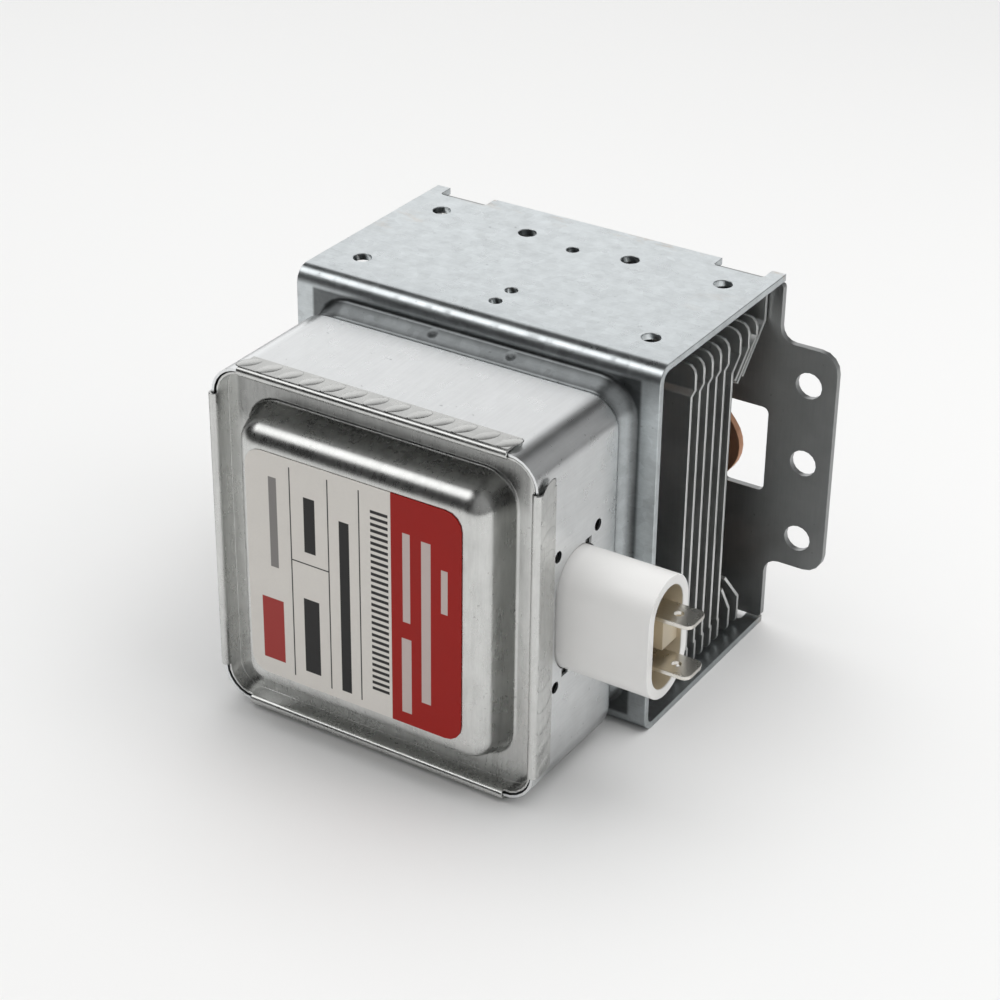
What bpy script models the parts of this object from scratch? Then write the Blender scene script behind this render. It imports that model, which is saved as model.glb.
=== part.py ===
"""Microwave-oven magnetron with its filter box, cooling fins, magnets and yoke.

Metres, +Z up. X runs across the yoke, +Y runs along the tube towards the antenna.
The origin is the middle of the yoke's underside, on which the magnetron stands.
"""
import math

import bmesh
import bpy
from mathutils import Vector

MM = 0.001

# Clearances
SEAT_GAP = 0.3 * MM
CRIMP_GAP = 0.25 * MM
LABEL_GAP = 0.1 * MM

# Yoke: one sheet folded into a U that is open at both sides
YOKE_WIDTH = 80.0 * MM
YOKE_HEIGHT = 78.3 * MM
YOKE_DEPTH = 49.3 * MM
YOKE_SHEET = 1.4 * MM
YOKE_BEND_RADIUS = 3.2 * MM
YOKE_HOLE_RADIUS = 1.9 * MM
YOKE_HOLES_FROM_SIDE = 8.0 * MM
YOKE_HOLES_FROM_REAR = 10.8 * MM
YOKE_HOLES_OUTER_X = YOKE_WIDTH / 2 - YOKE_HOLES_FROM_SIDE
YOKE_HOLES_INNER_X = 11.7 * MM
YOKE_HOLES_REAR_Y = YOKE_DEPTH - YOKE_HOLES_FROM_REAR
YOKE_HOLES_FRONT_Y = 10.7 * MM
YOKE_PILOT_RADIUS = 1.35 * MM
YOKE_PILOT_FROM_REAR = 12.9 * MM
YOKE_FRONT_PILOTS_Y = (8.3 * MM, 13.9 * MM)
YOKE_PILOTS_Y = (*YOKE_FRONT_PILOTS_Y, YOKE_DEPTH - YOKE_PILOT_FROM_REAR)
YOKE_NOTCH_FROM_SIDE = 3.1 * MM
YOKE_NOTCH_WIDTH = 10.7 * MM
YOKE_NOTCH_DEPTH = 3.8 * MM
YOKE_NOTCH_OUTER_X = YOKE_WIDTH / 2 - YOKE_NOTCH_FROM_SIDE
YOKE_NOTCH_INNER_X = YOKE_NOTCH_OUTER_X - YOKE_NOTCH_WIDTH
YOKE_NOTCH_CORNER = 0.7 * MM
YOKE_BORE_RADIUS = 13.0 * MM

# Raised seat on the yoke's front wall, which carries the filter box
SEAT_FROM_SIDE = 4.1 * MM
SEAT_FROM_BEND = 0.2 * MM
SEAT_WIDTH = YOKE_WIDTH - 2 * SEAT_FROM_SIDE
SEAT_TALL = YOKE_HEIGHT - 2 * (YOKE_BEND_RADIUS + SEAT_FROM_BEND)
SEAT_RISE = 3.9 * MM
SEAT_CORNER = 8.0 * MM
SEAT_SLOPE = math.radians(68.0)
SEAT_TOP_RADIUS = 2.1 * MM
SEAT_BASE_RADIUS = 0.9 * MM

# Mounting plate with its two drilled wings
PLATE_SHEET = 1.4 * MM
WING_REACH = 13.0 * MM
WING_SPAN = YOKE_WIDTH + 2 * WING_REACH
WING_TALL = 48.8 * MM
WING_ABOVE_AXIS = 1.15 * MM
WING_CORNER = 4.2 * MM
WING_FILLET = 3.0 * MM
WING_HOLE_RADIUS = 2.8 * MM
WING_HOLE_FROM_YOKE = 7.1 * MM
WING_HOLE_X = YOKE_WIDTH / 2 + WING_HOLE_FROM_YOKE
WING_HOLE_PITCH = 17.1 * MM
WING_HOLES_ABOVE_AXIS = 0.55 * MM
WINDOW_FROM_SIDE = 1.1 * MM
WINDOW_WIDTH = 9.4 * MM
WINDOW_OUTER_X = YOKE_WIDTH / 2 - WINDOW_FROM_SIDE
WINDOW_TALL = 18.6 * MM
WINDOW_CORNER = 1.3 * MM
PLATE_BORE_RADIUS = 10.6 * MM
PLATE_CORNER = 0.8 * MM

# Filter box, a drawn can that opens to the front
BOX_FROM_SEAT_SIDE = 0.7 * MM
BOX_ABOVE_UNDERSIDE = 1.5 * MM
BOX_BELOW_TOP = 5.0 * MM
BOX_WIDTH = SEAT_WIDTH - 2 * BOX_FROM_SEAT_SIDE
BOX_TALL = YOKE_HEIGHT - BOX_ABOVE_UNDERSIDE - BOX_BELOW_TOP
BOX_DEPTH = 29.1 * MM
BOX_SHEET = 0.5 * MM
BOX_CORNER = 6.3 * MM
BOX_FLOOR_RADIUS = 2.0 * MM
BOX_BORE_RADIUS = 12.5 * MM

# Filter lid, crimped over the can's edge
LID_SHEET = 0.45 * MM
LID_RIM_DEPTH = 4.0 * MM
LID_SKIRT = 5.7 * MM
LID_PANEL_FROM_SIDE = 10.0 * MM
LID_PANEL_FROM_END = 9.9 * MM
LID_PANEL_WIDTH = BOX_WIDTH - 2 * LID_PANEL_FROM_SIDE
LID_PANEL_TALL = BOX_TALL - 2 * LID_PANEL_FROM_END
LID_PANEL_CORNER = 2.6 * MM
LID_PANEL_RISE = 7.9 * MM
LID_PANEL_SLOPE = math.radians(76.0)
LID_PANEL_EDGE_RADIUS = 2.4 * MM
LID_PANEL_FOOT_RADIUS = 0.8 * MM

# Label on the raised panel
LABEL_LEFT_MARGIN = 0.8 * MM
LABEL_RIGHT_MARGIN = 2.5 * MM
LABEL_END_MARGIN = 2.1 * MM
LABEL_WIDTH = LID_PANEL_WIDTH - LABEL_LEFT_MARGIN - LABEL_RIGHT_MARGIN
LABEL_TALL = LID_PANEL_TALL - 2 * LABEL_END_MARGIN
LABEL_SHIFT_X = (LABEL_LEFT_MARGIN - LABEL_RIGHT_MARGIN) / 2
LABEL_CORNER = 3.5 * MM
LABEL_SHEET = 0.12 * MM

# Magnets, both alike, one at each end of the tube
MAGNET_FROM_YOKE = 14.15 * MM
MAGNET_RADIUS = min(YOKE_WIDTH, YOKE_HEIGHT) / 2 - MAGNET_FROM_YOKE
MAGNET_BORE = 10.6 * MM
MAGNET_THICK = 8.25 * MM
MAGNET_CHAMFER = 0.6 * MM

# Magnet retainer, a copper-coloured pressing behind the mounting plate's windows
RETAINER_SHEET = 1.6 * MM
RETAINER_END_PAST_MAGNET = 11.5 * MM
RETAINER_SHOULDER_INSIDE = 11.0 * MM
RETAINER_WALL = 2.4 * MM
RETAINER_REACH = MAGNET_RADIUS + RETAINER_END_PAST_MAGNET
RETAINER_SHOULDER_X = MAGNET_RADIUS - RETAINER_SHOULDER_INSIDE
RETAINER_SHOULDER_Z = MAGNET_RADIUS + RETAINER_WALL
RETAINER_END_RADIUS = 8.0 * MM
RETAINER_SHOULDER_RADIUS = 12.0 * MM

# Tube envelope: anode, pole pieces, end seals and ceramics
ANODE_RADIUS = 19.5 * MM
ANODE_WALL = 2.6 * MM
VANE_COUNT = 10
VANE_THICK = 2.0 * MM
VANE_TIP_RADIUS = 4.6 * MM
VANE_HEIGHT = 9.5 * MM
STRAP_SHEET = 0.8 * MM
STRAP_WIDTH = 0.8 * MM
STRAP_INNER_RADIUS = 6.6 * MM
STRAP_OUTER_RADIUS = 8.0 * MM
POLE_SHEET = 1.5 * MM
POLE_RIM_WIDTH = 6.0 * MM
POLE_CONE_OUTER = ANODE_RADIUS - POLE_RIM_WIDTH
POLE_TIP_RADIUS = 4.7 * MM
POLE_TIP_WALL = 1.7 * MM
POLE_TO_STRAP = 0.6 * MM
SEAL_SHEET = 0.5 * MM
SEAL_NECK_RADIUS = 9.9 * MM
SEAL_LIP = 2.0 * MM
FRONT_SEAL_REACH = 7.0 * MM
REAR_SEAL_REACH = 5.2 * MM
STEM_RADIUS = 7.7 * MM
STEM_WALL = 2.0 * MM
STEM_LENGTH = 12.4 * MM
STEM_END_WALL = 2.4 * MM
ANTENNA_CERAMIC_RADIUS = 9.2 * MM
ANTENNA_CERAMIC_WALL = 2.2 * MM
ANTENNA_CERAMIC_LENGTH = 7.5 * MM
ANTENNA_CAP_RADIUS = 7.8 * MM
ANTENNA_CAP_LENGTH = 12.0 * MM
ANTENNA_CAP_SHEET = 0.8 * MM
ANTENNA_ROD_RADIUS = 1.0 * MM
ANTENNA_ROD_OFFSET = STRAP_OUTER_RADIUS + STRAP_WIDTH + SEAT_GAP + ANTENNA_ROD_RADIUS
GASKET_RADIUS = 16.5 * MM
GASKET_THICK = 4.6 * MM

# Cathode
LEAD_RADIUS = 0.7 * MM
LEAD_HOLE_RADIUS = 1.0 * MM
SIDE_LEAD_X = 2.6 * MM
HAT_RADIUS = 3.5 * MM
HAT_THICK = 1.0 * MM
FILAMENT_RADIUS = 2.0 * MM
FILAMENT_WIRE = 0.3 * MM
FILAMENT_TURN_COUNT = 6
TERMINAL_REACH = 9.0 * MM
TERMINAL_WIDTH = 4.0 * MM
TERMINAL_SHEET = 0.8 * MM

# Cooling fins
FIN_SHEET = 0.7 * MM
FIN_FROM_SIDE = 2.6 * MM
FIN_TOP_FROM_WALL = 6.15 * MM
FIN_FOOT_FROM_WALL = 0.65 * MM
FIN_HALF_WIDTH = YOKE_WIDTH / 2 - FIN_FROM_SIDE
FIN_TOP = YOKE_HEIGHT / 2 - YOKE_SHEET - FIN_TOP_FROM_WALL
FIN_FOOT = YOKE_HEIGHT / 2 - YOKE_SHEET - FIN_FOOT_FROM_WALL
FIN_TOP_CORNER_SHARE = 0.19
FIN_FOOT_CORNER = 1.3 * MM
FIN_COLLAR_GAP = 1.35 * MM
FIN_STRAIGHT_COUNT = 5
FIN_FIRST_SHARE = 0.315
FIN_LAND = 0.4 * MM
FIN_SHOULDER = 0.4 * MM
FIN_WAIST_INSET = 3.2 * MM
REAR_FIN_PITCH = FIN_SHEET + SEAT_GAP

# A fin's bent end: shift along the tube, then how far out from the bore the bend lies and
# how far in the slant runs, both as shares of the room there
FIN_TOP_BEND = (1.4 * MM, 0.57, 0.13)
FIN_FOOT_BEND = (0.5 * MM, 0.72, 0.025)
REAR_FIN_TOP_BENDS = ((2.8 * MM, 0.57, 0.44), (5.3 * MM, 0.57, 0.84), (7.6 * MM, 0.695, 0.99))
REAR_FIN_FOOT_BENDS = ((0.4 * MM, 0.72, 0.04), (3.9 * MM, 0.69, 0.57), (6.7 * MM, 0.64, 0.73))

# Bent sheet above the rear magnet, from the top wall down to the last fin
GUIDE_FROM_PLATE = 0.65 * MM
GUIDE_TO_FIN = FIN_SHEET + SEAT_GAP
GUIDE_FOOT_ABOVE_FIN = 1.05 * MM
GUIDE_CORNER = 1.0 * MM

# Filter capacitor with its plug housing on the box's side wall
PLUG_WIDTH = 14.4 * MM
PLUG_TALL = 24.6 * MM
PLUG_REACH = 18.8 * MM
PLUG_WALL = 1.9 * MM
PLUG_POCKET = 10.2 * MM
PLUG_DIVIDER_TALL = 6.4 * MM
PLUG_DIVIDER_SET_BACK = 1.0 * MM
PLUG_DIVIDER_STEP = 2.0 * MM
PLUG_NOTCH_WIDTH = 2.2 * MM
PLUG_NOTCH_TALL = 1.8 * MM
PLUG_NOTCH_OUT_Y = 3.6 * MM
PLUG_NOTCH_OUT_Z = 11.8 * MM
TAB_WIDTH = 6.3 * MM
TAB_SHEET = 0.8 * MM
TAB_PITCH = 10.5 * MM
TAB_REACH = 24.8 * MM
TAB_TIP_CHAMFER = 1.5 * MM
TAB_HOLE_RADIUS = 0.95 * MM
TAB_HOLE_FROM_TIP = 4.0 * MM
TAB_INNER_REACH = 16.5 * MM
FLANGE_SHEET = 0.9 * MM
FLANGE_WIDTH = 17.4 * MM
FLANGE_FROM_RIM = 1.65 * MM
FLANGE_TALL = 34.0 * MM
FLANGE_CORNER = 3.0 * MM
FLANGE_HOLE_RADIUS = 1.2 * MM
FLANGE_HOLE_PITCH_Y = 13.8 * MM
FLANGE_HOLE_PITCH_Z = 27.5 * MM
CAPACITOR_LENGTH = 10.0 * MM
CAPACITOR_MARGIN = 1.2 * MM

# Filter chokes
CHOKE_RADIUS = 3.7 * MM
CHOKE_WIRE = 0.7 * MM
CHOKE_TURN_COUNT = 6
CHOKE_PITCH = 3.0 * MM
CHOKE_BEHIND_PLUG = 1.6 * MM
CHOKE_ABOVE_AXIS = 15.5 * MM
CORE_RADIUS = 2.5 * MM
CORE_LENGTH = 24.0 * MM

# Facets
FLAT_MARGIN = 1.0 * MM
SAME_POINT = 0.001 * MM
ROUND_COUNT = 32
TURNED_COUNT = 20
WING_HOLE_COUNT = 16
HOLE_COUNT = 12
RIVET_HOLE_COUNT = 10
SMALL_HOLE_COUNT = 8
BAY_COUNT = 3
ARC_COUNT = 4
PRESSED_ARC_COUNT = 6
FIN_CORNER_COUNT = 3
FILAMENT_FACET_COUNT = 6
CHOKE_FACET_COUNT = 7

# Places that follow from the sizes above
AXIS_Z = YOKE_HEIGHT / 2
SEAT_FACE_Y = -SEAT_RISE
PLATE_REAR_Y = YOKE_DEPTH
PLATE_FRONT_Y = PLATE_REAR_Y - PLATE_SHEET
REAR_MAGNET_Y = PLATE_FRONT_Y - SEAT_GAP
FRONT_MAGNET_Y = SEAT_FACE_Y + YOKE_SHEET + SEAT_GAP
FRONT_FLANGE_Y = FRONT_MAGNET_Y + MAGNET_THICK + SEAT_GAP
REAR_FLANGE_Y = REAR_MAGNET_Y - MAGNET_THICK - SEAT_GAP
FRONT_POLE_Y = FRONT_FLANGE_Y + SEAL_SHEET + SEAT_GAP
REAR_POLE_Y = REAR_FLANGE_Y - SEAL_SHEET - SEAT_GAP
ANODE_FRONT_Y = FRONT_POLE_Y + POLE_SHEET + SEAT_GAP
ANODE_REAR_Y = REAR_POLE_Y - POLE_SHEET - SEAT_GAP
ANODE_MIDDLE_Y = (ANODE_FRONT_Y + ANODE_REAR_Y) / 2
VANE_FRONT_Y = ANODE_MIDDLE_Y - VANE_HEIGHT / 2
VANE_REAR_Y = ANODE_MIDDLE_Y + VANE_HEIGHT / 2
ANODE_BORE = ANODE_RADIUS - ANODE_WALL
FIN_BORE = ANODE_RADIUS + SEAT_GAP
FIN_TOP_CORNER = FIN_TOP_CORNER_SHARE * (FIN_TOP - FIN_BORE)
FIN_FIRST_Y = ANODE_FRONT_Y + FIN_FIRST_SHARE * (ANODE_REAR_Y - ANODE_FRONT_Y)
REAR_FIN_COUNT = len(REAR_FIN_TOP_BENDS)
LAST_FIN_Y = ANODE_REAR_Y - FIN_SHEET / 2
FIN_PITCH = (LAST_FIN_Y - (REAR_FIN_COUNT - 1) * REAR_FIN_PITCH - FIN_FIRST_Y) / FIN_STRAIGHT_COUNT
FIN_COLLAR = FIN_PITCH - FIN_COLLAR_GAP
FIN_WAIST_HALF_WIDTH = FIN_HALF_WIDTH - FIN_WAIST_INSET
BOX_CENTRE_Z = BOX_ABOVE_UNDERSIDE + BOX_TALL / 2
BOX_REAR_Y = SEAT_FACE_Y - SEAT_GAP
BOX_FRONT_Y = BOX_REAR_Y - BOX_DEPTH
HEM_FRONT_Y = BOX_FRONT_Y - CRIMP_GAP - LID_SHEET
LID_RIM_Y = HEM_FRONT_Y + LID_RIM_DEPTH
LID_PANEL_Y = LID_RIM_Y - LID_PANEL_RISE
PLUG_CENTRE_Y = LID_RIM_Y + LID_SHEET + FLANGE_FROM_RIM + FLANGE_WIDTH / 2
PLUG_CENTRE_Z = BOX_CENTRE_Z
CHOKE_AXIS_Y = PLUG_CENTRE_Y + CHOKE_BEHIND_PLUG
BOX_SIDE_X = BOX_WIDTH / 2
PLUG_ROOT_X = BOX_SIDE_X - BOX_SHEET - SEAT_GAP - FLANGE_SHEET
PLUG_END_X = BOX_SIDE_X + PLUG_REACH


def clear_scene():
    for existing in list(bpy.data.objects):
        bpy.data.objects.remove(existing, do_unlink=True)


def make_material(name, colour, roughness, metallic):
    material = bpy.data.materials.new(name)
    material.use_nodes = True
    shader = material.node_tree.nodes["Principled BSDF"]
    shader.inputs["Base Color"].default_value = (*colour, 1.0)
    shader.inputs["Roughness"].default_value = roughness
    shader.inputs["Metallic"].default_value = metallic
    material.diffuse_color = (*colour, 1.0)
    return material


def make_object(name, mesh_builder, material, smooth_angle=30.0):
    """Turn a finished bmesh into a named object with its material."""
    bmesh.ops.recalc_face_normals(mesh_builder, faces=mesh_builder.faces)
    mesh = bpy.data.meshes.new(name)
    mesh_builder.to_mesh(mesh)
    mesh_builder.free()
    mesh.materials.append(material)
    mesh.shade_smooth()
    mesh.set_sharp_from_angle(angle=math.radians(smooth_angle))
    made = bpy.data.objects.new(name, mesh)
    bpy.context.scene.collection.objects.link(made)
    return made


def hide_cutter(cutter):
    cutter.hide_render = True
    cutter.display_type = "WIRE"
    return cutter


def cut(target, cutter):
    """Cut one object away from another with a Boolean that stays on the target."""
    modifier = target.modifiers.new("cut_" + cutter.name, "BOOLEAN")
    modifier.operation = "DIFFERENCE"
    modifier.solver = "EXACT"
    modifier.object = hide_cutter(cutter)


def thicken(target, thickness):
    """Give a single skin its sheet thickness, behind the side that its faces show."""
    modifier = target.modifiers.new("sheet", "SOLIDIFY")
    modifier.thickness = thickness
    modifier.offset = -1.0
    modifier.use_even_offset = True
    modifier.use_quality_normals = True


def circle(radius, segments, centre=(0.0, 0.0)):
    points = []
    for step in range(segments):
        angle = 2 * math.pi * step / segments
        points.append((centre[0] + radius * math.cos(angle), centre[1] + radius * math.sin(angle)))
    return points


def rounded(corners, segments=ARC_COUNT):
    """An outline through corners (u, v, radius), each rounded by an arc of that radius."""
    points = []
    count = len(corners)
    for index, (u, v, radius) in enumerate(corners):
        corner = Vector((u, v))
        before = (Vector(corners[index - 1][:2]) - corner).normalized()
        after = (Vector(corners[(index + 1) % count][:2]) - corner).normalized()
        if radius <= 0:
            points.append((u, v))
            continue
        half = before.angle(after) / 2
        centre = corner + (before + after).normalized() * (radius / math.sin(half))
        start = corner + before * (radius / math.tan(half)) - centre
        sweep = start.angle_signed(corner + after * (radius / math.tan(half)) - centre)
        for step in range(segments + 1):
            turn = -sweep * step / segments
            points.append((
                centre.x + start.x * math.cos(turn) - start.y * math.sin(turn),
                centre.y + start.x * math.sin(turn) + start.y * math.cos(turn),
            ))
    return [point for index, point in enumerate(points) if math.dist(point, points[index - 1]) > SAME_POINT]


def rectangle(width, tall, corner=0.0, centre=(0.0, 0.0), segments=ARC_COUNT):
    u, v = centre
    half_u, half_v = width / 2, tall / 2
    return rounded([
        (u - half_u, v - half_v, corner), (u + half_u, v - half_v, corner),
        (u + half_u, v + half_v, corner), (u - half_u, v + half_v, corner),
    ], segments)


def facing_front(u, v, w):
    """Outline drawn as (x, z), depth along Y."""
    return Vector((u, w, v))


def facing_side(u, v, w):
    """Outline drawn as (y, z), depth along X."""
    return Vector((w, u, v))


def facing_up(u, v, w):
    """Outline drawn as (x, y), depth along Z."""
    return Vector((u, v, w))


def add_ring(builder, outline, place, depth):
    return [builder.verts.new(place(u, v, depth)) for u, v in outline]


def ring_edges(builder, ring):
    edges = []
    for index, vertex in enumerate(ring):
        other = ring[(index + 1) % len(ring)]
        edges.append(builder.edges.get((vertex, other)) or builder.edges.new((vertex, other)))
    return edges


def join_rings(builder, first, second):
    for index in range(len(first)):
        following = (index + 1) % len(first)
        builder.faces.new((first[index], first[following], second[following], second[index]))


def fill_between(builder, rings):
    """Fill the flat region bounded by an outer ring and any holes in it."""
    edges = []
    for ring in rings:
        edges.extend(ring_edges(builder, ring))
    bmesh.ops.triangle_fill(builder, use_beauty=True, use_dissolve=False, edges=edges)


def add_slab(builder, outline, holes, place, low, high):
    """A flat solid with holes, between two depths."""
    for_low = [add_ring(builder, ring, place, low) for ring in [outline] + holes]
    for_high = [add_ring(builder, ring, place, high) for ring in [outline] + holes]
    fill_between(builder, for_low)
    fill_between(builder, for_high)
    for low_ring, high_ring in zip(for_low, for_high):
        join_rings(builder, low_ring, high_ring)


def make_slab(name, outline, holes, place, low, high, material):
    builder = bmesh.new()
    add_slab(builder, outline, holes, place, low, high)
    return make_object(name, builder, material)


def make_turned(name, profile, material, segments=TURNED_COUNT, axis_x=0.0):
    """Turn a closed profile of (radius, y) about the tube's axis."""
    builder = bmesh.new()
    rings = []
    for radius, y in profile:
        if radius == 0:
            rings.append([builder.verts.new((axis_x, y, AXIS_Z))])
            continue
        outline = circle(radius, segments, (axis_x, AXIS_Z))
        rings.append(add_ring(builder, outline, facing_front, y))
    for index, ring in enumerate(rings):
        other = rings[(index + 1) % len(rings)]
        if len(ring) == 1 and len(other) == 1:
            continue
        if len(ring) > 1 and len(other) > 1:
            join_rings(builder, ring, other)
            continue
        hub, rim = (ring[0], other) if len(ring) == 1 else (other[0], ring)
        for step in range(segments):
            builder.faces.new((hub, rim[step], rim[(step + 1) % segments]))
    return make_object(name, builder, material)


def make_wire(name, points, radius, material, resolution=1):
    curve = bpy.data.curves.new(name, "CURVE")
    curve.dimensions = "3D"
    curve.bevel_depth = radius
    curve.bevel_resolution = resolution
    curve.use_fill_caps = True
    spline = curve.splines.new("POLY")
    spline.points.add(len(points) - 1)
    spline.use_smooth = True
    for point, place in zip(spline.points, points):
        point.co = (*place, 1.0)
    curve.materials.append(material)
    made = bpy.data.objects.new(name, curve)
    bpy.context.scene.collection.objects.link(made)
    return made


def make_cutter(name, shapes):
    """One cutter from several slabs: each shape is (outline, place, low, high)."""
    builder = bmesh.new()
    for outline, place, low, high in shapes:
        add_slab(builder, outline, [], place, low, high)
    bmesh.ops.recalc_face_normals(builder, faces=builder.faces)
    mesh = bpy.data.meshes.new(name)
    builder.to_mesh(mesh)
    builder.free()
    cutter = bpy.data.objects.new(name, mesh)
    bpy.context.scene.collection.objects.link(cutter)
    return cutter


def step_profile(rise, slope, top_radius, foot_radius, segments):
    """A pressed step as (inset, height) pairs, from its foot arc to its top arc."""
    foot = []
    top = []
    for step in range(segments + 1):
        angle = slope * step / segments
        foot.append((foot_radius * math.sin(angle), foot_radius * (1 - math.cos(angle))))
        top.append((top_radius * math.sin(angle), top_radius * (1 - math.cos(angle))))
    straight = (rise - foot[-1][1] - top[-1][1]) / math.tan(slope)
    total = foot[-1][0] + straight + top[-1][0]
    descending = [(total - inset, rise - height) for inset, height in reversed(top)]
    return foot + descending


def add_step(builder, width, tall, corner, centre, profile, base_y):
    """Rings of a pressed step that narrows as it rises to the front, and one on its flat top."""
    rings = []
    last_inset, top_height = profile[-1]
    for inset, height in profile + [(last_inset + FLAT_MARGIN, top_height)]:
        outline = rectangle(
            width - 2 * inset, tall - 2 * inset, corner - inset, centre, PRESSED_ARC_COUNT
        )
        rings.append(add_ring(builder, outline, facing_front, base_y - height))
    for first, second in zip(rings, rings[1:]):
        join_rings(builder, first, second)
    return rings


def yoke_skin():
    """Outer skin of the yoke: top wall, bend, front wall with its seat, bend, bottom wall."""
    builder = bmesh.new()
    half = YOKE_WIDTH / 2
    bend = YOKE_BEND_RADIUS
    upper = [(YOKE_DEPTH, YOKE_HEIGHT)]
    lower = []
    for step in range(ARC_COUNT + 1):
        angle = math.pi / 2 * step / ARC_COUNT
        reach = bend * (1 - math.sin(angle))
        drop = bend * (1 - math.cos(angle))
        upper.append((reach, YOKE_HEIGHT - drop))
        lower.append((reach, drop))
    lower.reverse()
    lower.append((YOKE_DEPTH, 0.0))
    for side in (upper, lower):
        left = [builder.verts.new((-half, y, z)) for y, z in side]
        right = [builder.verts.new((half, y, z)) for y, z in side]
        for index in range(len(side) - 1):
            builder.faces.new((left[index], right[index], right[index + 1], left[index + 1]))
        if side is upper:
            wall_top = (left[-1], right[-1])
        else:
            wall_foot = (right[0], left[0])
    profile = step_profile(SEAT_RISE, SEAT_SLOPE, SEAT_TOP_RADIUS, SEAT_BASE_RADIUS, 3)
    rings = add_step(builder, SEAT_WIDTH, SEAT_TALL, SEAT_CORNER, (0.0, AXIS_Z), profile, 0.0)
    fill_between(builder, [[*wall_top, *wall_foot], rings[0]])
    outline = circle(YOKE_BORE_RADIUS, ROUND_COUNT, (0.0, AXIS_Z))
    bore = add_ring(builder, outline, facing_front, SEAT_FACE_Y)
    fill_between(builder, [rings[-1], bore])
    return builder


def face_outwards(skin, inside):
    """Turn an open skin's faces so that they look away from a point behind it."""
    mesh = skin.data
    builder = bmesh.new()
    builder.from_mesh(mesh)
    bmesh.ops.recalc_face_normals(builder, faces=builder.faces)
    builder.faces.ensure_lookup_table()
    facing = sum(
        (face.calc_center_median() - inside).dot(face.normal) * face.calc_area() for face in builder.faces
    )
    if facing < 0:
        bmesh.ops.reverse_faces(builder, faces=builder.faces)
    builder.to_mesh(mesh)
    builder.free()


def yoke_cutter():
    """Holes through the top and bottom walls, and the notches in their rear edges."""
    shapes = []
    spots = []
    for side in (-1, 1):
        spots.append((side * YOKE_HOLES_OUTER_X, YOKE_HOLES_FRONT_Y, YOKE_HOLE_RADIUS))
        spots.append((side * YOKE_HOLES_OUTER_X, YOKE_HOLES_REAR_Y, YOKE_HOLE_RADIUS))
        spots.append((side * YOKE_HOLES_INNER_X, YOKE_HOLES_REAR_Y, YOKE_HOLE_RADIUS))
    for y in YOKE_PILOTS_Y:
        spots.append((0.0, y, YOKE_PILOT_RADIUS))
    notch_front = YOKE_DEPTH - YOKE_NOTCH_DEPTH
    notch_past = YOKE_DEPTH + YOKE_SHEET
    for outside, inwards in ((-YOKE_SHEET, 1), (YOKE_HEIGHT + YOKE_SHEET, -1)):
        low, high = sorted((outside, outside + inwards * 3 * YOKE_SHEET))
        for x, y, radius in spots:
            shapes.append((circle(radius, HOLE_COUNT, (x, y)), facing_up, low, high))
        for side in (-1, 1):
            near, far = sorted((side * YOKE_NOTCH_INNER_X, side * YOKE_NOTCH_OUTER_X))
            outline = rounded([
                (near, notch_front, YOKE_NOTCH_CORNER), (far, notch_front, YOKE_NOTCH_CORNER),
                (far, notch_past, 0.0), (near, notch_past, 0.0),
            ], 3)
            shapes.append((outline, facing_up, low, high))
    return make_cutter("yoke_cutter", shapes)


def build_yoke(material):
    yoke = make_object("yoke_frame", yoke_skin(), material)
    face_outwards(yoke, Vector((0.0, YOKE_DEPTH / 2, AXIS_Z)))
    thicken(yoke, YOKE_SHEET)
    cut(yoke, yoke_cutter())


def plate_outline():
    """Body between the yoke's walls, with a wing on each side, fillets and round corners."""
    body_x = YOKE_WIDTH / 2 + SEAT_GAP
    wing_x = WING_SPAN / 2
    foot = YOKE_SHEET + SEAT_GAP
    head = YOKE_HEIGHT - YOKE_SHEET - SEAT_GAP
    middle = AXIS_Z + WING_ABOVE_AXIS
    wing_low = middle - WING_TALL / 2
    wing_high = middle + WING_TALL / 2
    return rounded([
        (-body_x, foot, PLATE_CORNER), (body_x, foot, PLATE_CORNER),
        (body_x, wing_low, WING_FILLET), (wing_x, wing_low, WING_CORNER),
        (wing_x, wing_high, WING_CORNER), (body_x, wing_high, WING_FILLET),
        (body_x, head, PLATE_CORNER), (-body_x, head, PLATE_CORNER),
        (-body_x, wing_high, WING_FILLET), (-wing_x, wing_high, WING_CORNER),
        (-wing_x, wing_low, WING_CORNER), (-body_x, wing_low, WING_FILLET),
    ])


def build_plate(material):
    holes = [circle(PLATE_BORE_RADIUS, ROUND_COUNT, (0.0, AXIS_Z))]
    for side in (-1, 1):
        for row in (-1, 0, 1):
            spot = (side * WING_HOLE_X, AXIS_Z + WING_HOLES_ABOVE_AXIS + row * WING_HOLE_PITCH)
            holes.append(circle(WING_HOLE_RADIUS, WING_HOLE_COUNT, spot))
        spot = (side * (WINDOW_OUTER_X - WINDOW_WIDTH / 2), AXIS_Z + WING_ABOVE_AXIS)
        holes.append(rectangle(WINDOW_WIDTH, WINDOW_TALL, WINDOW_CORNER, spot))
    make_slab("mounting_plate", plate_outline(), holes, facing_front, PLATE_FRONT_Y, PLATE_REAR_Y, material)


def box_outline(inset):
    centre = (0.0, BOX_CENTRE_Z)
    return rectangle(
        BOX_WIDTH - 2 * inset, BOX_TALL - 2 * inset, BOX_CORNER - inset, centre, PRESSED_ARC_COUNT
    )


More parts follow.
